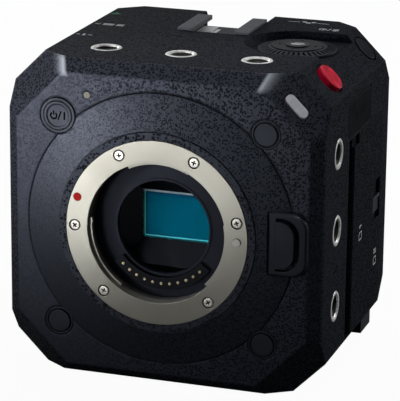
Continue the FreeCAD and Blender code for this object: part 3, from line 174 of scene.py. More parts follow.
floor_size, floor_z = 6, -0.0005
bpy.ops.mesh.primitive_plane_add(size=floor_size, location=(0, 0, floor_z))
floor = bpy.context.object
floor.name = "studio_floor"
floor_paint = bpy.data.materials.new("floor_paint")
floor_paint.use_nodes = True
tree = floor_paint.node_tree
shader = tree.nodes["Principled BSDF"]
shader.inputs["Roughness"].default_value = 0.9
path = tree.nodes.new("ShaderNodeLightPath")
by_eye, by_gloss = path.outputs["Is Camera Ray"], path.outputs["Is Glossy Ray"]
tone = blend_colour(tree, by_eye, (0.10, 0.10, 0.10), (0.9, 0.9, 0.9))
tree.links.new(tone, shader.inputs["Base Color"])
in_front = remap(tree, place_on(tree)["Y"], -0.06, -0.30, 0.0, 0.15, "SMOOTHSTEP")
for_gloss = arithmetic(tree, "MULTIPLY", by_gloss, in_front)
share = arithmetic(tree, "MULTIPLY_ADD", by_eye, 0.96, for_gloss)
glow = tree.nodes.new("ShaderNodeEmission")
glow.inputs["Color"].default_value = (1, 1, 1, 1)
surface = pass_over(tree, share, shader.outputs[0], glow.outputs[0])
tree.links.new(surface, tree.nodes["Material Output"].inputs["Surface"])
floor.data.materials.append(floor_paint)


# Front shell and the cone round the mount: magnesium castings with long bevels, sprayed with a
# bluish black paint that dries to a fine crinkle, its pits painted dark as shade. It shines softly
# on rounded edges, which carry a painted highlight, and a wider painted highlight lies along the
# shell's two short edges at its upper corners.
def finish(name, colour, roughness, metallic=0.0, specular=0.5):
    """Plain start of a finish, as (material, tree, shader)."""
    material = bpy.data.materials.new(name)
    material.use_nodes = True
    tree = material.node_tree
    shader = tree.nodes["Principled BSDF"]
    shader.inputs["Base Color"].default_value = (*colour, 1)
    shader.inputs["Roughness"].default_value = roughness
    shader.inputs["Metallic"].default_value = metallic
    shader.inputs["Specular IOR Level"].default_value = specular
    return material, tree, shader


def tinted(colour, times):
    """The colour, lighter or darker by a factor."""
    return tuple(min(1.0, c * times) for c in colour)


def grains(tree, size_mm, detail=2.0, stretch=(1, 1, 1)):
    """Noise on the object's own coordinates, with grains of about this size."""
    place = tree.nodes.new("ShaderNodeTexCoord")
    stretcher = tree.nodes.new("ShaderNodeMapping")
    stretcher.inputs["Scale"].default_value = stretch
    noise = tree.nodes.new("ShaderNodeTexNoise")
    noise.inputs["Scale"].default_value = 1000.0 / size_mm
    noise.inputs["Detail"].default_value = detail
    tree.links.new(place.outputs["Object"], stretcher.inputs["Vector"])
    tree.links.new(stretcher.outputs["Vector"], noise.inputs["Vector"])
    return noise.outputs["Fac"]


def cloudy(tree, noise, first, second):
    """Colour that wanders between two with a noise."""
    return blend_colour(tree, remap(tree, noise, 0.3, 0.7), first, second)


def soft_edges(tree, radius_mm):
    """Normal with rounded edges, and a mask that is 1 on them."""
    rounder = tree.nodes.new("ShaderNodeBevel")
    rounder.samples = 6
    rounder.inputs["Radius"].default_value = radius_mm / 1000
    flat = tree.nodes.new("ShaderNodeNewGeometry")
    likeness = tree.nodes.new("ShaderNodeVectorMath")
    likeness.operation = "DOT_PRODUCT"
    tree.links.new(rounder.outputs["Normal"], likeness.inputs[0])
    tree.links.new(flat.outputs["Normal"], likeness.inputs[1])
    return rounder.outputs["Normal"], remap(tree, likeness.outputs["Value"], 0.995, 0.93)


def relief(tree, shader, height, depth_mm, normal=None):
    """Bump from a height in 0..1, on top of another normal if one is given."""
    bump = tree.nodes.new("ShaderNodeBump")
    bump.inputs["Strength"].default_value = 1.0
    bump.inputs["Distance"].default_value = depth_mm / 1000
    tree.links.new(height, bump.inputs["Height"])
    if normal is not None:
        tree.links.new(normal, bump.inputs["Normal"])
    tree.links.new(bump.outputs["Normal"], shader.inputs["Normal"])


def specks(tree, size_mm, share):
    """Round specks of about this size, on a share of the cells: 1 on a speck."""
    cell_per_speck = 1.3
    place = tree.nodes.new("ShaderNodeTexCoord")
    cells = tree.nodes.new("ShaderNodeTexVoronoi")
    cells.inputs["Scale"].default_value = 1000.0 / (size_mm * cell_per_speck)
    tree.links.new(place.outputs["Object"], cells.inputs["Vector"])
    chance = tree.nodes.new("ShaderNodeSeparateXYZ")
    tree.links.new(cells.outputs["Color"], chance.inputs["Vector"])
    round_spot = remap(tree, cells.outputs["Distance"], 0.56, 0.44)
    chosen = remap(tree, chance.outputs["X"], share + 0.02, share - 0.02)
    return arithmetic(tree, "MULTIPLY", round_spot, chosen)


def painted_gap_shade(tree, reach_mm, colour):
    """Colour that falls to black in gaps and beside walls within reach: painted shade."""
    shade = tree.nodes.new("ShaderNodeAmbientOcclusion")
    shade.samples = 8
    shade.inputs["Distance"].default_value = reach_mm / 1000
    return blend_colour(tree, remap(tree, shade.outputs["AO"], 0.3, 0.8), (0.0, 0.0, 0.0), colour)


def pit_strength(tree, spot, face_share):
    """Pits' painted shade: less on the left of the flat front face, where the light is full."""
    front_face, turned_away = -0.99, -0.90
    left_part, middle = -0.030, 0.008
    outline = tree.nodes.new("ShaderNodeNewGeometry")
    slope = tree.nodes.new("ShaderNodeSeparateXYZ")
    tree.links.new(outline.outputs["Normal"], slope.inputs["Vector"])
    by_slope = remap(tree, slope.outputs["Y"], front_face, turned_away, face_share, 1.0)
    by_place = remap(tree, spot["X"], left_part, middle, face_share, 1.0)
    return arithmetic(tree, "MAXIMUM", by_slope, by_place)


def highlighted_corners(tree, spot):
    """Mask of the painted highlight on the shell's two short corner edges: 1 on them, fading
    outwards from them.

    The edges run along abs(x) - edge_slope * z = edge. All in metres.
    """
    edge_slope = 0.446
    edge, highlight_ends = -0.0110, -0.0058
    highlight_starts, highlight_full = -0.0122, -0.0113
    lower_end, highlight_above = 0.0878, 0.0893
    beside = arithmetic(tree, "MULTIPLY_ADD", spot["Z"], -edge_slope,
                        arithmetic(tree, "ABSOLUTE", spot["X"]))
    fading = arithmetic(tree, "POWER", remap(tree, beside, highlight_ends, edge), 3.0)
    up_to_edge = remap(tree, beside, highlight_starts, highlight_full)
    band = arithmetic(tree, "MULTIPLY", up_to_edge, fading)
    return arithmetic(tree, "MULTIPLY", band, remap(tree, spot["Z"], lower_end, highlight_above))


def crinkle(name, colour, pit_shade, share, size_mm, depth_mm, roughness, edge_mm, dust_and_highlight_colour, gloss,
            face_share=1.0, corner_highlight=0.0):
    """Crinkle paint: satin skin, pits in painted shade, edges rounded with a painted highlight."""
    rim_mm, reach_mm, pit_roughness = 0.45, 0.8, 0.5
    painted_glare_colour = (0.46, 0.49, 0.54)
    material, tree, shader = finish(name, colour, roughness, specular=gloss)
    shader.inputs["Specular Tint"].default_value = (0.72, 0.79, 1.0, 1)
    fine = grains(tree, size_mm, detail=1.0)
    dust = grains(tree, size_mm * 0.5, detail=1.0)
    broad = grains(tree, 14.0)
    normal = soft_edges(tree, edge_mm)[0]
    rim = soft_edges(tree, min(edge_mm, rim_mm))[1]
    spot = place_on(tree)
    # Pits painted dark as shade, weaker where the light falls full on the front face.
    pits = arithmetic(tree, "MULTIPLY", specks(tree, size_mm, share),
                      pit_strength(tree, spot, face_share))
    cloud = cloudy(tree, broad, colour, tinted(colour, 1.15))
    dusted = blend_colour(tree, remap(tree, dust, 0.45, 0.75, 0.0, 0.7), cloud, dust_and_highlight_colour)
    pitted = blend_colour(tree, pits, dusted, pit_shade)
    # Painted highlight: a rim on the edges goes over to the lighter colour, patchy with the grain.
    edge_highlight = arithmetic(tree, "MULTIPLY", rim, remap(tree, fine, 0.35, 0.6, 0.2, 0.6))
    lit = blend_colour(tree, edge_highlight, pitted, dust_and_highlight_colour)
    skin = roughness
    # Painted highlight along the shell's short corner edges: a lighter colour, with a smoother
    # skin.
    if corner_highlight > 0:
        band = highlighted_corners(tree, spot)
        lit = blend_colour(tree, remap(tree, band, 0, 1, 0, corner_highlight * 3), lit, painted_glare_colour)
        skin = remap(tree, band, 0, 1, roughness, roughness - corner_highlight)
    tree.links.new(painted_gap_shade(tree, reach_mm, lit), shader.inputs["Base Color"])
    tree.links.new(arithmetic(tree, "MULTIPLY_ADD", pits, pit_roughness, skin),
                   shader.inputs["Roughness"])
    relief(tree, shader, fine, depth_mm, normal)
    return material


def dress(names, material):
    """Put a finish on CAD nodes."""
    for name in names:
        for place in node[name].material_slots:
            place.material = material


shell_paint = crinkle("shell_crinkle_paint", (0.0085, 0.0095, 0.0145),
                      pit_shade=(0.0002, 0.0002, 0.0008), share=0.75, size_mm=0.50, depth_mm=0.030,
                      roughness=0.44, edge_mm=0.9, dust_and_highlight_colour=(0.030, 0.034, 0.046), gloss=0.4,
                      face_share=0.3, corner_highlight=0.26)
cone_paint = crinkle("cone_crinkle_paint", (0.0090, 0.0105, 0.0150),
                     pit_shade=(0.0004, 0.0004, 0.0012), share=0.6, size_mm=0.42, depth_mm=0.030,
                     roughness=0.46, edge_mm=0.6, dust_and_highlight_colour=(0.040, 0.047, 0.056), gloss=0.4,
                     face_share=0.2)
dress(["front_shell"], shell_paint)
dress(["mount_panel"], cone_paint)

# Collar round the bayonet: a cast ring, seated between the cone and the steel ring. It has the
# same casting paint, sprayed drier, so its grain is coarser.
collar_paint = crinkle("collar_rough_paint", (0.0085, 0.0095, 0.014),
                       pit_shade=(0.0004, 0.0004, 0.001), share=0.6, size_mm=0.6, depth_mm=0.06,
                       roughness=0.5, edge_mm=0.4, dust_and_highlight_colour=(0.034, 0.038, 0.048), gloss=0.35)
dress(["mount_collar"], collar_paint)

# Outer covers: thin castings with a fine flat paint. Their edges carry a painted highlight, which
# shows as thin lighter lines between the faces and the long bevels.
cover_paint = crinkle("cover_flat_paint", (0.0092, 0.0102, 0.0150),
                      pit_shade=(0.003, 0.003, 0.005), share=0.5, size_mm=0.35, depth_mm=0.012,
                      roughness=0.65, edge_mm=0.4, dust_and_highlight_colour=(0.040, 0.045, 0.058), gloss=0.04)
dress(["top_cover", "left_cover", "bottom_cover", "right_cover"], cover_paint)

# Back casting and its feet: the casting closes the housing from behind, with the same flat paint
# on a plainer surface. The feet are blocks of soft black rubber under its lower bevels.
back_paint = crinkle("back_flat_paint", (0.0150, 0.0165, 0.024),
                     pit_shade=(0.006, 0.006, 0.010), share=0.5, size_mm=0.4, depth_mm=0.012,
                     roughness=0.65, edge_mm=0.4, dust_and_highlight_colour=(0.055, 0.060, 0.075), gloss=0.05)
dress(["rear_cover"], back_paint)


def uneven_gloss(tree, shader, noise, smoothest, roughest):
    """Roughness that wanders between two values with a noise."""
    tree.links.new(remap(tree, noise, 0.3, 0.7, smoothest, roughest), shader.inputs["Roughness"])


def moulded(name, colour, roughness, grain_mm=0.35, depth_mm=0.008, edge_mm=0.2, painted_edge_light=2.0,
            gloss=0.3, reach_mm=0.6):
    """Moulded plastic or rubber: fine grain, cloudiness, painted edge light, painted gap shade."""
    material, tree, shader = finish(name, colour, roughness, specular=gloss)
    shader.inputs["Specular Tint"].default_value = (0.76, 0.82, 1.0, 1)
    fine = grains(tree, grain_mm)
    broad = grains(tree, 6.0)
    normal, edge = soft_edges(tree, edge_mm)
    cloud = cloudy(tree, broad, colour, tinted(colour, 1.25))
    # Edges painted by the factor: lighter as a highlight above 1, darker as shade below 1.
    toned = blend_colour(tree, remap(tree, edge, 0, 1, 0, 0.9), cloud, tinted(colour, painted_edge_light))
    tree.links.new(painted_gap_shade(tree, reach_mm, toned), shader.inputs["Base Color"])
    uneven_gloss(tree, shader, broad, roughness - 0.05, roughness + 0.07)
    relief(tree, shader, fine, depth_mm, normal)
    return material


foot_rubber = moulded("foot_rubber", (0.010, 0.010, 0.011), 0.7, grain_mm=0.5, depth_mm=0.02)
dress(["rear_feet"], foot_rubber)


# Bayonet ring: turned stainless steel with a warm tint. The lathe leaves fine rings round the
# axis, which draw each lamp out into a fan of light across the face.
def turned_metal(name, colour, roughness, centre_x, centre_z):
    """Lathe-turned metallic finish, axis Y: fine rings, fanned light, painted edge highlight."""
    pitch_mm, depth_mm, fan = 0.12, 0.0012, 0.6
    material, tree, shader = finish(name, colour, roughness, metallic=0.45)
    place = tree.nodes.new("ShaderNodeTexCoord")
    centred = tree.nodes.new("ShaderNodeMapping")
    centred.inputs["Location"].default_value = (-centre_x, 0, -centre_z)
    centred.inputs["Scale"].default_value = (1, 0, 1)
    away = tree.nodes.new("ShaderNodeVectorMath")
    away.operation = "LENGTH"
    tree.links.new(place.outputs["Object"], centred.inputs["Vector"])
    tree.links.new(centred.outputs["Vector"], away.inputs[0])
    rings = tree.nodes.new("ShaderNodeTexNoise")
    rings.noise_dimensions = "1D"
    rings.inputs["Scale"].default_value = 1000.0 / pitch_mm
    rings.inputs["Detail"].default_value = 3.0
    tree.links.new(away.outputs["Value"], rings.inputs["W"])
    normal, edge = soft_edges(tree, 0.15)
    streak = cloudy(tree, rings.outputs["Fac"], tinted(colour, 0.88), colour)
    # Painted highlight: the edges go over to a lighter tone.
    bright = blend_colour(tree, edge, streak, tinted(colour, 1.3))
    tree.links.new(painted_gap_shade(tree, 0.6, bright), shader.inputs["Base Color"])
    uneven_gloss(tree, shader, grains(tree, 5.0), roughness - 0.03, roughness + 0.05)
    shader.inputs["Anisotropic"].default_value = fan
    tangent = tree.nodes.new("ShaderNodeTangent")
    tangent.direction_type = "RADIAL"
    tangent.axis = "Y"
    tree.links.new(tangent.outputs["Tangent"], shader.inputs["Tangent"])
    relief(tree, shader, rings.outputs["Fac"], depth_mm, normal)
    return material


lens_x, lens_y, lens_z = 0.0, -0.039, 0.0462
ring_steel = turned_metal("turned_ring_steel", (0.355, 0.345, 0.298), 0.31, lens_x, lens_z)
dress(["lens_mount_ring"], ring_steel)


# Lock pin, index mark and the screws that hold the ring. The pin is ground steel, the mark is red
# enamel in a dimple, and each screw has a pan head with a cross recess, driven to its own angle.
def plated(name, colour, roughness, grain_mm=0.2, edge_mm=0.08, metallic=1.0):
    """Plated or buffed metallic finish: fine scratches, painted edge highlight and gap shade."""
    material, tree, shader = finish(name, colour, roughness, metallic=metallic)
    scratches = grains(tree, grain_mm, stretch=(1, 0.2, 0.6))
    normal, edge = soft_edges(tree, edge_mm)
    tone = cloudy(tree, grains(tree, 3.0), tinted(colour, 0.85), colour)
    # Painted highlight: the edges go over to a lighter tone.
    lit_edge_tone = blend_colour(tree, edge, tone, tinted(colour, 1.2))
    tree.links.new(painted_gap_shade(tree, 0.4, lit_edge_tone), shader.inputs["Base Color"])
    uneven_gloss(tree, shader, scratches, roughness - 0.05, roughness + 0.1)
    relief(tree, shader, scratches, 0.004, normal)
    return material


def gloss(name, colour, deep, roughness, coat, shine):
    """Glossy enamel or moulded colour, deeper in broad random patches."""
    material, tree, shader = finish(name, colour, roughness, specular=shine)
    broad = grains(tree, 2.0)
    tree.links.new(cloudy(tree, broad, deep, colour), shader.inputs["Base Color"])
    uneven_gloss(tree, shader, broad, roughness - 0.03, roughness + 0.05)
    shader.inputs["Coat Weight"].default_value = coat
    shader.inputs["Coat Roughness"].default_value = 0.15
    relief(tree, shader, grains(tree, 0.15), 0.003, soft_edges(tree, 0.12)[0])
    return material


pin_steel = plated("pin_steel", (0.50, 0.49, 0.47), 0.3, metallic=0.6)
index_enamel = gloss("index_red_enamel", (0.42, 0.004, 0.006), (0.32, 0.003, 0.004), 0.5,
                     coat=0.0, shine=0.1)
dress(["lens_lock_pin"], pin_steel)
dress(["index_mark"], index_enamel)


def select_only(thing):
    """Select one piece, and make it the one that the tools work on."""
    bpy.ops.object.select_all(action="DESELECT")
    bpy.context.view_layer.objects.active = thing
    thing.select_set(True)


def pick_faces(thing, wanted):
    """Go into edit mode with just the faces selected whose centre (mm) and normal pass a test."""
    select_only(thing)
    bpy.ops.object.mode_set(mode="EDIT")
    bpy.ops.mesh.select_mode(type="FACE")
    bpy.ops.mesh.select_all(action="DESELECT")
    bpy.ops.object.mode_set(mode="OBJECT")
    for face in thing.data.polygons:
        face.select = wanted(face.center * 1000, face.normal)
    bpy.ops.object.mode_set(mode="EDIT")


def draw_out(step_mm, scale=1.0):
    """Extrude the selected faces along Z and scale them about the Z axis."""
    bpy.ops.mesh.extrude_region_move(TRANSFORM_OT_translate={"value": (0, 0, step_mm / 1000)})
    bpy.ops.transform.resize(value=(scale, scale, 1), center_override=(0, 0, 0))


def tidy_mesh(thing, angle=35):
    """Merge doubles, turn the faces outwards and smooth all but the sharp edges."""
    select_only(thing)
    bpy.ops.object.mode_set(mode="EDIT")
    bpy.ops.mesh.select_all(action="SELECT")
    bpy.ops.mesh.remove_doubles(threshold=0.000001)
    bpy.ops.mesh.normals_make_consistent(inside=False)
    bpy.ops.object.mode_set(mode="OBJECT")
    bpy.ops.object.shade_smooth_by_angle(angle=math.radians(angle))


def cylinder(name, radius, top, depth, steps=48):
    """Upright cylinder with its top at a height, in mm, and its place in its mesh."""
    bpy.ops.object.select_all(action="DESELECT")
    bpy.ops.mesh.primitive_cylinder_add(vertices=steps, radius=radius / 1000, depth=depth / 1000,
                                        location=(0, 0, (top - depth / 2) / 1000))
    thing = bpy.context.object
    thing.name = name
    bpy.ops.object.transform_apply(location=True, rotation=True, scale=True)
    return thing


def cut_with(thing, cutter):
    """Cut one mesh out of another and clear the cutter away."""
    select_only(thing)
    cut = thing.modifiers.new("cut", "BOOLEAN")
    cut.operation = "DIFFERENCE"
    cut.solver = "EXACT"
    cut.object = cutter
    bpy.ops.object.modifier_apply(modifier="cut")
    bpy.data.objects.remove(cutter)


def copies(thing, places):
    """Copy a piece to each matrix, join the copies and drop the first."""
    made = []
    for place in places:
        copy = thing.copy()
        copy.data = thing.data.copy()
        bpy.context.scene.collection.objects.link(copy)
        copy.data.transform(place)
        made.append(copy)
    name = thing.name
    bpy.data.objects.remove(thing)
    select_only(made[0])
    for copy in made[1:]:
        copy.select_set(True)
    bpy.ops.object.join()
    joined = bpy.context.object
    joined.name = name
    return joined


def two_tone(thing, skin, inner, is_inner):
    """Give the faces whose centre (mm) passes a test the inner finish, and the rest the skin."""
    thing.data.materials.append(skin)
    thing.data.materials.append(inner)
    for face in thing.data.polygons:
        face.material_index = 1 if is_inner(face.center * 1000) else 0


head_r, head_h, shank_r, shank_l = 1.36, 0.95, 0.85, 5.4
shoulder, crown = 0.10, 0.02
cross_l, cross_w, cross_deep = 1.9, 0.46, 0.45
recess_r, recess_floor, recess_mouth = 1.15, -0.6, -0.06
screw = cylinder("mount_screws_cross", head_r, -(shoulder + crown), head_h)
pick_faces(screw, lambda c, n: n.z > 0.9)
draw_out(shoulder, 0.90)
draw_out(crown, 0.80)
bpy.ops.object.mode_set(mode="OBJECT")
pick_faces(screw, lambda c, n: n.z < -0.9)
bpy.ops.mesh.inset(thickness=(head_r - shank_r) / 1000)
draw_out(-shank_l)
bpy.ops.object.mode_set(mode="OBJECT")
for turn in (0, 90):
    bpy.ops.object.select_all(action="DESELECT")
    bpy.ops.mesh.primitive_cube_add(size=0.001, location=(0, 0, 0))
    slot = bpy.context.object
    bpy.ops.object.mode_set(mode="EDIT")
    bpy.ops.transform.resize(value=(cross_l, cross_w, 2 * cross_deep), center_override=(0, 0, 0))
    bpy.ops.object.mode_set(mode="OBJECT")
    pick_faces(slot, lambda c, n: n.z < -0.9)
    bpy.ops.transform.resize(value=(0.55, 0.6, 1), center_override=(0, 0, 0))
    bpy.ops.object.mode_set(mode="OBJECT")
    slot.data.transform(Matrix.Rotation(math.radians(turn), 4, "Z"))
    cut_with(screw, slot)
tidy_mesh(screw, 30)
screw_nickel = plated("screw_nickel", (0.70, 0.69, 0.62), 0.35, metallic=0.7)
# The cross recess gets a black finish: painted shade inside the recess.
recess_shade = moulded("screw_recess_painted_shade", (0.010, 0.010, 0.009), 0.6)
two_tone(screw, screw_nickel, recess_shade,
         lambda c: recess_floor < c.z < recess_mouth and math.hypot(c.x, c.y) < recess_r)
toward_lens = Matrix.Rotation(math.radians(90), 4, "X")
screw_circle = 0.0241
screw_places = []
for angle, turn in ((13, 20), (63, 75), (117, 5), (180, 40), (230, 62), (310, 33)):
    a = math.radians(angle)
    x = lens_x + screw_circle * math.cos(a)
    z = lens_z + screw_circle * math.sin(a)
    driven = Matrix.Rotation(math.radians(turn), 4, "Z")
    screw_places.append(Matrix.Translation((x, lens_y, z)) @ toward_lens @ driven)
screws = copies(screw, screw_places)
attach(screws, "camera_body")
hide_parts("mount_screws")

# Lens release: a smooth moulded guard beside the ring, and the half-moon button that it shields.
# Both are black plastic, painted lighter at the edges as a highlight.
guard_plastic = moulded("guard_plastic", (0.008, 0.009, 0.013), 0.38, edge_mm=0.35, painted_edge_light=3.5)
release_plastic = moulded("release_plastic", (0.009, 0.010, 0.014), 0.33, edge_mm=0.35, painted_edge_light=4.5)
dress(["release_guard"], guard_plastic)
dress(["lens_release_button"], release_plastic)

# Inside of the mount: a matt black disc with a smoother light tunnel behind it, and the lens
# contacts, which are gilt spring pins in a moulded black block.
throat_black = moulded("throat_black", (0.0065, 0.0075, 0.0125), 0.6, grain_mm=0.3,
                       depth_mm=0.01, painted_edge_light=3.0, gloss=0.25)
tunnel_black = moulded("tunnel_black", (0.0030, 0.0032, 0.0045), 0.24, grain_mm=0.3,
                       depth_mm=0.002, painted_edge_light=3.0, gloss=0.5, reach_mm=0.3)
dress(["light_baffle"], throat_black)
dress(["sensor_frame"], tunnel_black)
block_plastic = moulded("contact_block_plastic", (0.003, 0.003, 0.0035), 0.5, gloss=0.15)
dress(["contact_block"], block_plastic)
pin_gilt = plated("pin_gilt", (0.62, 0.52, 0.33), 0.3)
dress(["contact_pins", "battery_terminals"], pin_gilt)

# Sensor: a bare silicon die with a teal sheen, under a clear coated window in the light tunnel.
# The die is darker and bluer along its left and its top, where the tunnel shades it.
die_teal, die_shaded = (0.0015, 0.125, 0.200), (0.010, 0.030, 0.110)
shade_left, clear_left = -0.0102, -0.0088
shade_top, clear_top = 0.0528, 0.0510
die, tree, shader = finish("sensor_die", die_teal, 0.4, specular=0.0)
spot = place_on(tree)
in_the_clear = arithmetic(tree, "MULTIPLY", remap(tree, spot["X"], shade_left, clear_left),
                          remap(tree, spot["Z"], shade_top, clear_top))
die_colour = blend_colour(tree, in_the_clear, die_shaded, die_teal)
tree.links.new(die_colour, shader.inputs["Base Color"])
relief(tree, shader, grains(tree, 0.1), 0.001)
dress(["sensor_chip"], die)
window_glass, tree, shader = finish("sensor_window_glass", (0.80, 0.96, 0.98), 0.03, specular=0.0)
shader.inputs["Transmission Weight"].default_value = 1.0
shader.inputs["IOR"].default_value = 1.03
uneven_gloss(tree, shader, grains(tree, 3.0), 0.02, 0.05)
dress(["sensor_glass"], window_glass)


# Boards, cooling and frame: fibreglass boards under a green solder mask, cast and extruded
# aluminium for the chassis, the heat sink and the card reader, and moulded black fan plastic.
def circuit(name, colour):
    """Solder mask with faint tracks under it."""
    material, tree, shader = finish(name, colour, 0.35)
    place = tree.nodes.new("ShaderNodeTexCoord")
    tracks = tree.nodes.new("ShaderNodeTexBrick")
    tracks.inputs["Scale"].default_value = 260
    tracks.inputs["Mortar Size"].default_value = 0.03
    tracks.inputs["Color1"].default_value = (*colour, 1)
    tracks.inputs["Color2"].default_value = (*tinted(colour, 1.3), 1)
    tracks.inputs["Mortar"].default_value = (*tinted(colour, 2.2), 1)
    tree.links.new(place.outputs["Object"], tracks.inputs["Vector"])
    tree.links.new(tracks.outputs["Color"], shader.inputs["Base Color"])
    relief(tree, shader, tracks.outputs["Fac"], 0.02)
    return material


board_mask = circuit("board_solder_mask", (0.006, 0.05, 0.02))
dress(["sensor_board", "main_board", "port_board"], board_mask)
cast_grey = plated("cast_aluminium", (0.30, 0.30, 0.31), 0.5, grain_mm=0.6)
dress(["chassis", "heat_sink", "card_reader"], cast_grey)
fan_black = moulded("fan_plastic", (0.010, 0.010, 0.011), 0.45)
dress(["fan_frame", "cooling_fan", "vent_grilles"], fan_black)

# Accessory shoe: a channel folded from satin steel on the top cover, with a moulded black contact
# block between its rails and silver plated contact pads.
shoe_steel = plated("shoe_satin_steel", (0.085, 0.088, 0.105), 0.45, grain_mm=0.25,
                    edge_mm=0.3, metallic=0.6)
shoe_black = moulded("shoe_block_plastic", (0.008, 0.008, 0.010), 0.4)
pad_silver = plated("shoe_pad_silver", (0.8, 0.8, 0.8), 0.3, metallic=0.5)
dress(["hot_shoe_rails"], shoe_steel)
dress(["shoe_base"], shoe_black)
dress(["shoe_contacts"], pad_silver)

# Dial, pad and set key: a turned dial with ribs, anodised black, round a satin plastic pad that
# tips four ways, and the centre key in it.
dial_black = moulded("dial_anodised", (0.010, 0.011, 0.0155), 0.38, grain_mm=0.25,
                     depth_mm=0.004, edge_mm=0.14, painted_edge_light=6.0, gloss=0.12, reach_mm=0.9)
pad_black = moulded("pad_plastic", (0.012, 0.0135, 0.019), 0.40, grain_mm=0.25, depth_mm=0.004,
                    edge_mm=0.22, painted_edge_light=5.0, gloss=0.12)
set_black = moulded("set_key_plastic", (0.004, 0.004, 0.005), 0.4, grain_mm=0.25,
                    depth_mm=0.004, edge_mm=0.18, painted_edge_light=4.0)
dress(["control_dial"], dial_black)
dress(["cursor_pad"], pad_black)
dress(["set_button"], set_black)

# Keys of the housing: a crimson moulded record key, and satin black moulded keys. Each stands in
# its own recess on a spring.
record_red = gloss("record_crimson", (0.93, 0.003, 0.050), (0.50, 0.001, 0.022), 0.35,
                   coat=0.3, shine=0.3)
key_black = moulded("key_plastic", (0.010, 0.011, 0.015), 0.36, grain_mm=0.25, depth_mm=0.004,
                    edge_mm=0.3, painted_edge_light=3.0, gloss=0.15)
dress(["rec_button"], record_red)
dress(["playback_button", "function_button", "quick_menu_button", "wireless_button"], key_black)

# Power key, its bezel, the screw caps and the small lamps on the front: moulded black plastic
# and rubber, painted dark at their edges as shade of the gaps round them, and moulded lenses, a
# cream one for power and a pale one for recording.
power_black = moulded("power_key_plastic", (0.014, 0.016, 0.022), 0.42, grain_mm=0.3,
                      depth_mm=0.006, edge_mm=0.5, painted_edge_light=0.02)
cap_black = moulded("cap_rubber", (0.012, 0.015, 0.019), 0.42, grain_mm=0.4, depth_mm=0.006,
                    edge_mm=0.5, painted_edge_light=0.02)
lamp_cream = gloss("power_lamp_lens", (0.25, 0.235, 0.20), (0.18, 0.17, 0.145), 0.5,
                   coat=0.0, shine=0.1)
tally_lens = gloss("tally_lamp_lens", (0.64, 0.64, 0.69), (0.50, 0.50, 0.54), 0.4,
                   coat=0.1, shine=0.3)
dress(["power_button", "power_bezel"], power_black)
dress(["screw_caps"], cap_black)
dress(["power_led"], lamp_cream)
dress(["tally_lamp"], tally_lens)

# Card door, its lock, the bay behind it, and the jack cover with its sockets: a moulded door in a
# flat finish like the covers', black plastic in the bays, and covers of soft rubber. Door and
# covers swing on their rounded edges.
door_plastic = crinkle("door_flat_plastic", (0.0040, 0.0045, 0.0078),
                       pit_shade=(0.001, 0.001, 0.002), share=0.5, size_mm=0.35, depth_mm=0.010,
                       roughness=0.65, edge_mm=0.35, dust_and_highlight_colour=(0.045, 0.050, 0.064),
                       gloss=0.04)
lock_plastic = moulded("lock_plastic", (0.014, 0.016, 0.020), 0.4, edge_mm=0.25, painted_edge_light=4.0)
bay_plastic = moulded("bay_plastic", (0.005, 0.005, 0.006), 0.5)
flap_rubber = moulded("flap_rubber", (0.0024, 0.0027, 0.0044), 0.65, grain_mm=0.4,
                      depth_mm=0.012, edge_mm=0.3, painted_edge_light=2.5, gloss=0.03)
dress(["card_door"], door_plastic)
dress(["door_lock"], lock_plastic)
dress(["card_bay", "battery_latch", "battery_plate", "audio_jacks", "microphones"], bay_plastic)
dress(["jack_cover", "upper_port_flap", "lower_port_flap"], flap_rubber)

# Sockets at the back: shells of pressed or turned steel, nickel plated, in the bays behind the
# rubber flaps.
socket_nickel = plated("socket_nickel", (0.6, 0.59, 0.56), 0.3)
dress(["port_sockets", "bnc_sockets"], socket_nickel)

# Threaded bushes: turned steel, pressed into the castings, each with a real coarse camera
# thread. One is turned and threaded, and the other ten are copies at the record's thread mounts,
# whose places lie a little below the bush's face.
bush_r, bush_length, bore_r = 4.5, 7.0, 3.1
chamfer, rim_width, mouth_depth, bore_length = 0.2, 0.78, 0.45, 5.7
thread_pitch, thread_turns, turn_steps = 1.27, 4, 36
ridge_r, ridge_start = 0.55, -6.2
shaded_bore_r, shade_below = 3.4, -0.7
mount_below_face = 3.6
bush = cylinder("threaded_bushes_turned", bush_r, -chamfer, bush_length - chamfer, 64)
pick_faces(bush, lambda c, n: n.z > 0.9)
draw_out(chamfer, 0.955)
bpy.ops.mesh.inset(thickness=rim_width / 1000)
draw_out(-mouth_depth, 0.88)
draw_out(-bore_length, 0.985)
bpy.ops.object.mode_set(mode="OBJECT")
tidy_mesh(bush, 30)
bpy.ops.object.select_all(action="DESELECT")
bpy.ops.mesh.primitive_circle_add(vertices=4, radius=ridge_r / 1000,
                                  location=(bore_r / 1000, 0, ridge_start / 1000),
                                  rotation=(math.radians(90), 0, 0))
ridge = bpy.context.object
bpy.ops.object.transform_apply(location=True, rotation=True, scale=True)
helix = ridge.modifiers.new("helix", "SCREW")
helix.screw_offset = thread_pitch / 1000
helix.iterations = thread_turns
helix.steps = turn_steps
helix.render_steps = turn_steps
bpy.ops.object.modifier_apply(modifier="helix")
bpy.ops.object.mode_set(mode="EDIT")
bpy.ops.mesh.select_all(action="SELECT")
bpy.ops.mesh.fill_holes(sides=8)
bpy.ops.object.mode_set(mode="OBJECT")
tidy_mesh(ridge, 30)
bush_face = plated("bush_turned_face", (0.95, 0.94, 0.91), 0.28, grain_mm=0.3, edge_mm=0.12,
                   metallic=0.2)
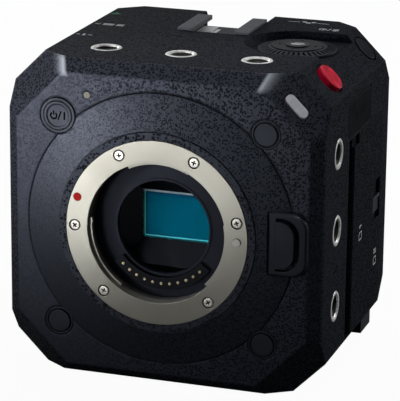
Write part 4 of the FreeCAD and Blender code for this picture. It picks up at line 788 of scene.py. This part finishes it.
# The bore below its mouth gets a dark finish: painted shade inside the hole.
bush_bore_shade, tree, shader = finish("bush_shaded_bore", (0.050, 0.048, 0.045), 0.5, metallic=0.6)
uneven_gloss(tree, shader, grains(tree, 0.4), 0.4, 0.6)
for part in (bush, ridge):
    two_tone(part, bush_face, bush_bore_shade,
             lambda c: c.z < shade_below and math.hypot(c.x, c.y) < shaded_bore_r)
select_only(bush)
ridge.select_set(True)
bpy.ops.object.join()
bush_places = []
for mount in frame["record"]["mounts"]:
    if mount["kind"] == "threaded_hole":
        facing = Vector(mount["axis"])
        face_place = Vector(mount["pos_m"]) + facing * (mount_below_face / 1000)
        turned = facing.to_track_quat("Z", "Y").to_matrix().to_4x4()
        bush_places.append(Matrix.Translation(face_place) @ turned)
bushes = copies(bush, bush_places)
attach(bushes, "camera_body")
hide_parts("threaded_bushes")


# Power sign: the standard stand-by circle, a slash and a bar, printed in black in the dish of the
# power key. Every printed sign is drawn flat in mm, given the thickness of its ink and laid on.
def start_sign(name):
    """Empty sheet in edit mode, ready for strokes."""
    sheet = bpy.data.objects.new(name, bpy.data.meshes.new(name))
    bpy.context.scene.collection.objects.link(sheet)
    select_only(sheet)
    bpy.ops.object.mode_set(mode="EDIT")
    bpy.ops.mesh.select_mode(type="VERT")
    return sheet


def put_stroke(x, y, turn):
    """Turn the stroke just drawn anticlockwise and move it to its place."""
    bpy.ops.transform.rotate(value=-math.radians(turn), orient_axis="Z", center_override=(0, 0, 0))
    bpy.ops.transform.translate(value=(x / 1000, y / 1000, 0))


def bar(x, y, width, height, turn=0):
    """Straight stroke, by its middle."""
    bpy.ops.mesh.primitive_plane_add(size=0.001, location=(0, 0, 0))
    bpy.ops.transform.resize(value=(width, height, 1), center_override=(0, 0, 0))
    put_stroke(x, y, turn)


def wedge(x, y, width, height, turn=0):
    """Triangle with its point up."""
    bpy.ops.mesh.primitive_circle_add(vertices=3, radius=0.001, fill_type="NGON",
                                      location=(0, 0, 0))
    bpy.ops.transform.resize(value=(width / math.sqrt(3), height / 1.5, 1),
                             center_override=(0, 0, 0))
    put_stroke(x, y, turn)


def hoop(x, y, radius, width, start=0, end=360):
    """Round stroke between two angles, anticlockwise from the right: a short line, spun."""
    middle = (x / 1000, y / 1000, 0)
    step_degrees, fewest_steps = 12, 6
    bpy.ops.mesh.primitive_plane_add(size=0.001, location=(0, 0, 0))
    bpy.ops.transform.resize(value=(width, 0, 1), center_override=(0, 0, 0))
    bpy.ops.mesh.remove_doubles(threshold=0.0000001)
    bpy.ops.transform.translate(value=(radius / 1000, 0, 0))
    put_stroke(x, y, 0)
    bpy.ops.transform.rotate(value=-math.radians(start), orient_axis="Z", center_override=middle)
    bpy.ops.mesh.spin(steps=max(fewest_steps, int((end - start) / step_degrees)),
                      angle=-math.radians(end - start), center=middle, axis=(0, 0, 1))


def lay_ink(sheet, origin, across, upward, material, body, slot_name, thickness=0.012):
    """Give the drawn sheet its thickness and lay it on a plane through origin, all in mm."""
    gap = 0.003
    bpy.ops.mesh.select_all(action="SELECT")
    bpy.ops.mesh.remove_doubles(threshold=0.000001)
    bpy.ops.object.mode_set(mode="OBJECT")
    layer = sheet.modifiers.new("layer", "SOLIDIFY")
    layer.thickness = thickness / 1000
    layer.offset = 1
    bpy.ops.object.modifier_apply(modifier="layer")
    across, upward = Vector(across), Vector(upward)
    normal = across.cross(upward)
    place = Matrix((across, upward, normal)).transposed().to_4x4()
    place.translation = (Vector(origin) + normal * gap) / 1000
    sheet.data.transform(place)
    tidy_mesh(sheet)
    sheet.data.materials.append(material)
    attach(sheet, body)


def ink_finish(name, colour, roughness=0.55, gloss=0.3):
    """Screen-printed ink, slightly patchy."""
    material, tree, shader = finish(name, colour, roughness, specular=gloss)
    patch = grains(tree, 0.3)
    ink = blend_colour(tree, remap(tree, patch, 0.35, 0.6), tinted(colour, 0.8), colour)
    tree.links.new(ink, shader.inputs["Base Color"])
    relief(tree, shader, patch, 0.004)
    return material


dark_ink = ink_finish("dark_ink", (0.0008, 0.0008, 0.0010), roughness=0.7, gloss=0.02)
seen_from_front = ((1, 0, 0), (0, 0, 1))
sign = start_sign("power_sign")
hoop(-1.25, -0.1, 0.90, 0.5, 125, 415)
bar(-1.25, 0.75, 0.44, 1.2)
bar(0.50, 0, 0.42, 2.7, -20)
bar(1.95, 0, 0.46, 2.3)
lay_ink(sign, (-30.35, -35.60, 76.55), *seen_from_front, dark_ink, "power_button", "power_plastic")

# Signs beside the left keys, printed on the top cover and read from behind: radio waves in green
# at the wireless key, a short list at the quick menu key, and a plain 1 between two dashes at the
# function key.
white_ink = ink_finish("white_ink", (0.85, 0.86, 0.88))
green_ink = ink_finish("green_ink", (0.012, 0.30, 0.11))
from_behind = ((-1, 0, 0), (0, -1, 0))
top = 93.0
sign = start_sign("wireless_sign")
for radius in (0.7, 1.4, 2.1):
    hoop(0, -0.8, radius, 0.34, 42, 138)
hoop(0, -0.75, 0.15, 0.3)
lay_ink(sign, (-35.2, 25.0, top), *from_behind, green_ink, "camera_body", "cover_paint")
sign = start_sign("list_sign")
for y in (-0.75, 0, 0.75):
    bar(-3.2, y, 2.2, 0.36)
    bar(0.4, y, 3.4, 0.36)
    hoop(3.25, y, 0.09, 0.18)
bar(4.2, 0, 1.0, 0.36)
lay_ink(sign, (-31.6, 9.7, top), *from_behind, white_ink, "camera_body", "cover_paint")
sign = start_sign("number_one")
bar(0.15, 0, 0.44, 2.1)
bar(-0.3, 0.68, 0.95, 0.36, 38)
bar(-1.8, 0, 1.2, 0.34)
bar(1.9, 0, 1.2, 0.34)
lay_ink(sign, (-34.0, -5.3, top), *from_behind, white_ink, "camera_body", "cover_paint")

# Signs behind the dial, printed on the top cover: three linked boxes between two lines for the
# network lamp, and the play and waste-bin signs of the rear key.
sign = start_sign("network_sign")
bar(0, 0.62, 1.3, 0.75)
for x in (-1.5, 1.5):
    bar(x, -0.72, 1.3, 0.75)
    bar(x, -0.1, 0.26, 0.6)
    bar(x * 3.0, 0, 3.6, 0.3)
bar(0, 0.05, 3.26, 0.26)
lay_ink(sign, (22.6, 32.9, top), *from_behind, white_ink, "camera_body", "cover_paint")
sign = start_sign("play_and_bin_sign")
hoop(2.3, 0, 1.0, 0.3)
wedge(2.2, 0, 0.95, 0.85, -90)
bar(0.35, 0, 0.3, 2.3, -18)
bar(-1.6, 0.72, 2.0, 0.3)
bar(-1.6, 1.02, 0.8, 0.3)
for x in (-2.25, -1.6, -0.95):
    bar(x, -0.2, 0.26, 1.6)
bar(-1.6, -1.0, 1.5, 0.3)
lay_ink(sign, (31.2, 25.8, top), *from_behind, white_ink, "camera_body", "cover_paint")

# Arrows on the cursor pad and bars on its centre key, facing the reader behind the camera. They
# are printed on the moulded tops, dark on the pad and white on the key.
dial_x, dial_y, pad_top, set_top = 26.9, 6.3, 92.35, 92.7
arrow_r = 5.3
sign = start_sign("cursor_arrows")
for turn in (0, 90, 180, 270):
    a = math.radians(turn)
    wedge(-arrow_r * math.sin(a), arrow_r * math.cos(a), 1.7, 0.8, turn)
lay_ink(sign, (dial_x, dial_y, pad_top), *from_behind, dark_ink, "cursor_pad", "pad_plastic")
sign = start_sign("set_key_sign")
for y, width in ((0.95, 2.8), (0, 4.2), (-0.95, 2.8)):
    bar(y * 0.2, y, width, 0.5)
lay_ink(sign, (dial_x, dial_y, set_top), *from_behind, white_ink, "set_button", "pad_plastic")


# Marks beside the bushes: small dark arrows, printed on the covers, that show which holes belong
# to one plate.
def pointer_mark(name, origin, across, upward):
    """Arrow over a shallow tray, on a cover."""
    sheet = start_sign(name)
    wedge(0, 0.15, 1.1, 0.9)
    bar(0, -0.35, 2.6, 0.34)
    for x in (-1.15, 1.15):
        bar(x, -0.05, 0.34, 0.7)
    lay_ink(sheet, origin, across, upward, dark_ink, "camera_body", "cover_paint")


right_side = 46.5
seen_from_right = ((0, 1, 0), (0, 0, 1))
pointer_mark("top_mark_left", (-31.6, -20.5, top), *from_behind)
pointer_mark("top_mark_right", (30.6, -20.5, top), *from_behind)
for number, z in enumerate((78.5, 57.0, 34.5)):
    pointer_mark("side_mark_%d" % number, (right_side, -19.3, z), *seen_from_right)


# Card signs on the door: a memory card with its cut corner, and beside it a plain 1 or 2. They
# are printed in white and read upwards.
def card_sign(name, number, origin):
    """Outline of a card with its number."""
    sheet = start_sign(name)
    bar(-2.9, 0, 0.28, 3.0)
    bar(-0.7, -0.35, 0.28, 2.3)
    bar(-1.8, -1.36, 2.4, 0.28)
    bar(-2.15, 1.36, 1.6, 0.28)
    bar(-1.05, 1.05, 0.28, 0.95, 45)
    if number == 1:
        bar(1.2, 0, 0.4, 2.4)
        bar(0.85, 0.85, 0.9, 0.34, 38)
    else:
        for y in (1.1, 0, -1.1):
            bar(1.2, y, 1.5, 0.34)
        bar(1.8, 0.55, 0.34, 1.0)
        bar(0.6, -0.55, 0.34, 1.0)
    lay_ink(sheet, origin, (0, 0, 1), (0, -1, 0), white_ink, "card_door", "door_plastic")


card_sign("card_sign_one", 1, (right_side, 8.2, 38.5))
card_sign("card_sign_two", 2, (right_side, 26.2, 25.5))

# Signs on the jack cover: a microphone and headphones, for the two jacks behind it, printed dark
# on the black rubber.
sign = start_sign("jack_signs")
bar(-3.4, 0.5, 1.0, 1.5)
hoop(-3.4, 0.2, 1.1, 0.26, 180, 360)
bar(-3.4, -1.3, 0.26, 0.7)
bar(-3.4, -1.7, 1.5, 0.26)
hoop(3.4, 0, 1.4, 0.3, 0, 180)
for x in (2.1, 4.7):
    bar(x, -0.5, 0.7, 1.4)
lay_ink(sign, (right_side, 3.7, 75.2), *seen_from_right, dark_ink, "jack_cover", "flap_rubber")


# Active area of the sensor: thin bright lines round the pixels, each in its own colour: painted
# glints that stand for the light caught by the coated edges of the window over them.
def sensor_edge_glint(name, colour, x, z, width, height):
    """One border of the pixels, in its own colour: a painted glint."""
    die_front, die_middle = -19.75, 46.2
    glint_ink = ink_finish(name + "_metal", colour, roughness=0.3)
    sheet = start_sign(name)
    bar(x, z, width, height)
    lay_ink(sheet, (0, die_front, die_middle), *seen_from_front, glint_ink, "camera_body",
            "sensor_silicon")


sensor_edge_glint("sensor_line_top", (0.60, 0.50, 0.52), -0.2, 6.45, 20.0, 0.55)
sensor_edge_glint("sensor_line_left", (0.16, 0.75, 0.55), -9.95, -0.5, 0.30, 13.8)
sensor_edge_glint("sensor_line_right", (0.10, 0.34, 0.38), 9.9, -0.5, 0.2, 13.8)
sensor_edge_glint("sensor_line_bottom", (0.20, 0.95, 1.00), -0.1, -6.9, 20.0, 0.34)

# Spring leaves of the accessory shoe: bright steel strips on the contact block, parted by dark
# gaps, at each side of the middle contact.
leaf_steel = plated("shoe_leaf_steel", (0.9, 0.9, 0.92), 0.35, metallic=0.3)
block_top, leaf_thickness = 90.4, 0.08
leaves = start_sign("shoe_leaves")
bar(-6.2, 0.6, 4.6, 15.6)
bar(-2.9, -0.4, 1.1, 12.4)
bar(6.9, 0.6, 3.6, 15.6)
bar(4.6, -0.8, 0.9, 12.4)
lay_ink(leaves, (0, 19.8, block_top), (1, 0, 0), (0, 1, 0), leaf_steel, "camera_body",
        "shoe_silver", leaf_thickness)
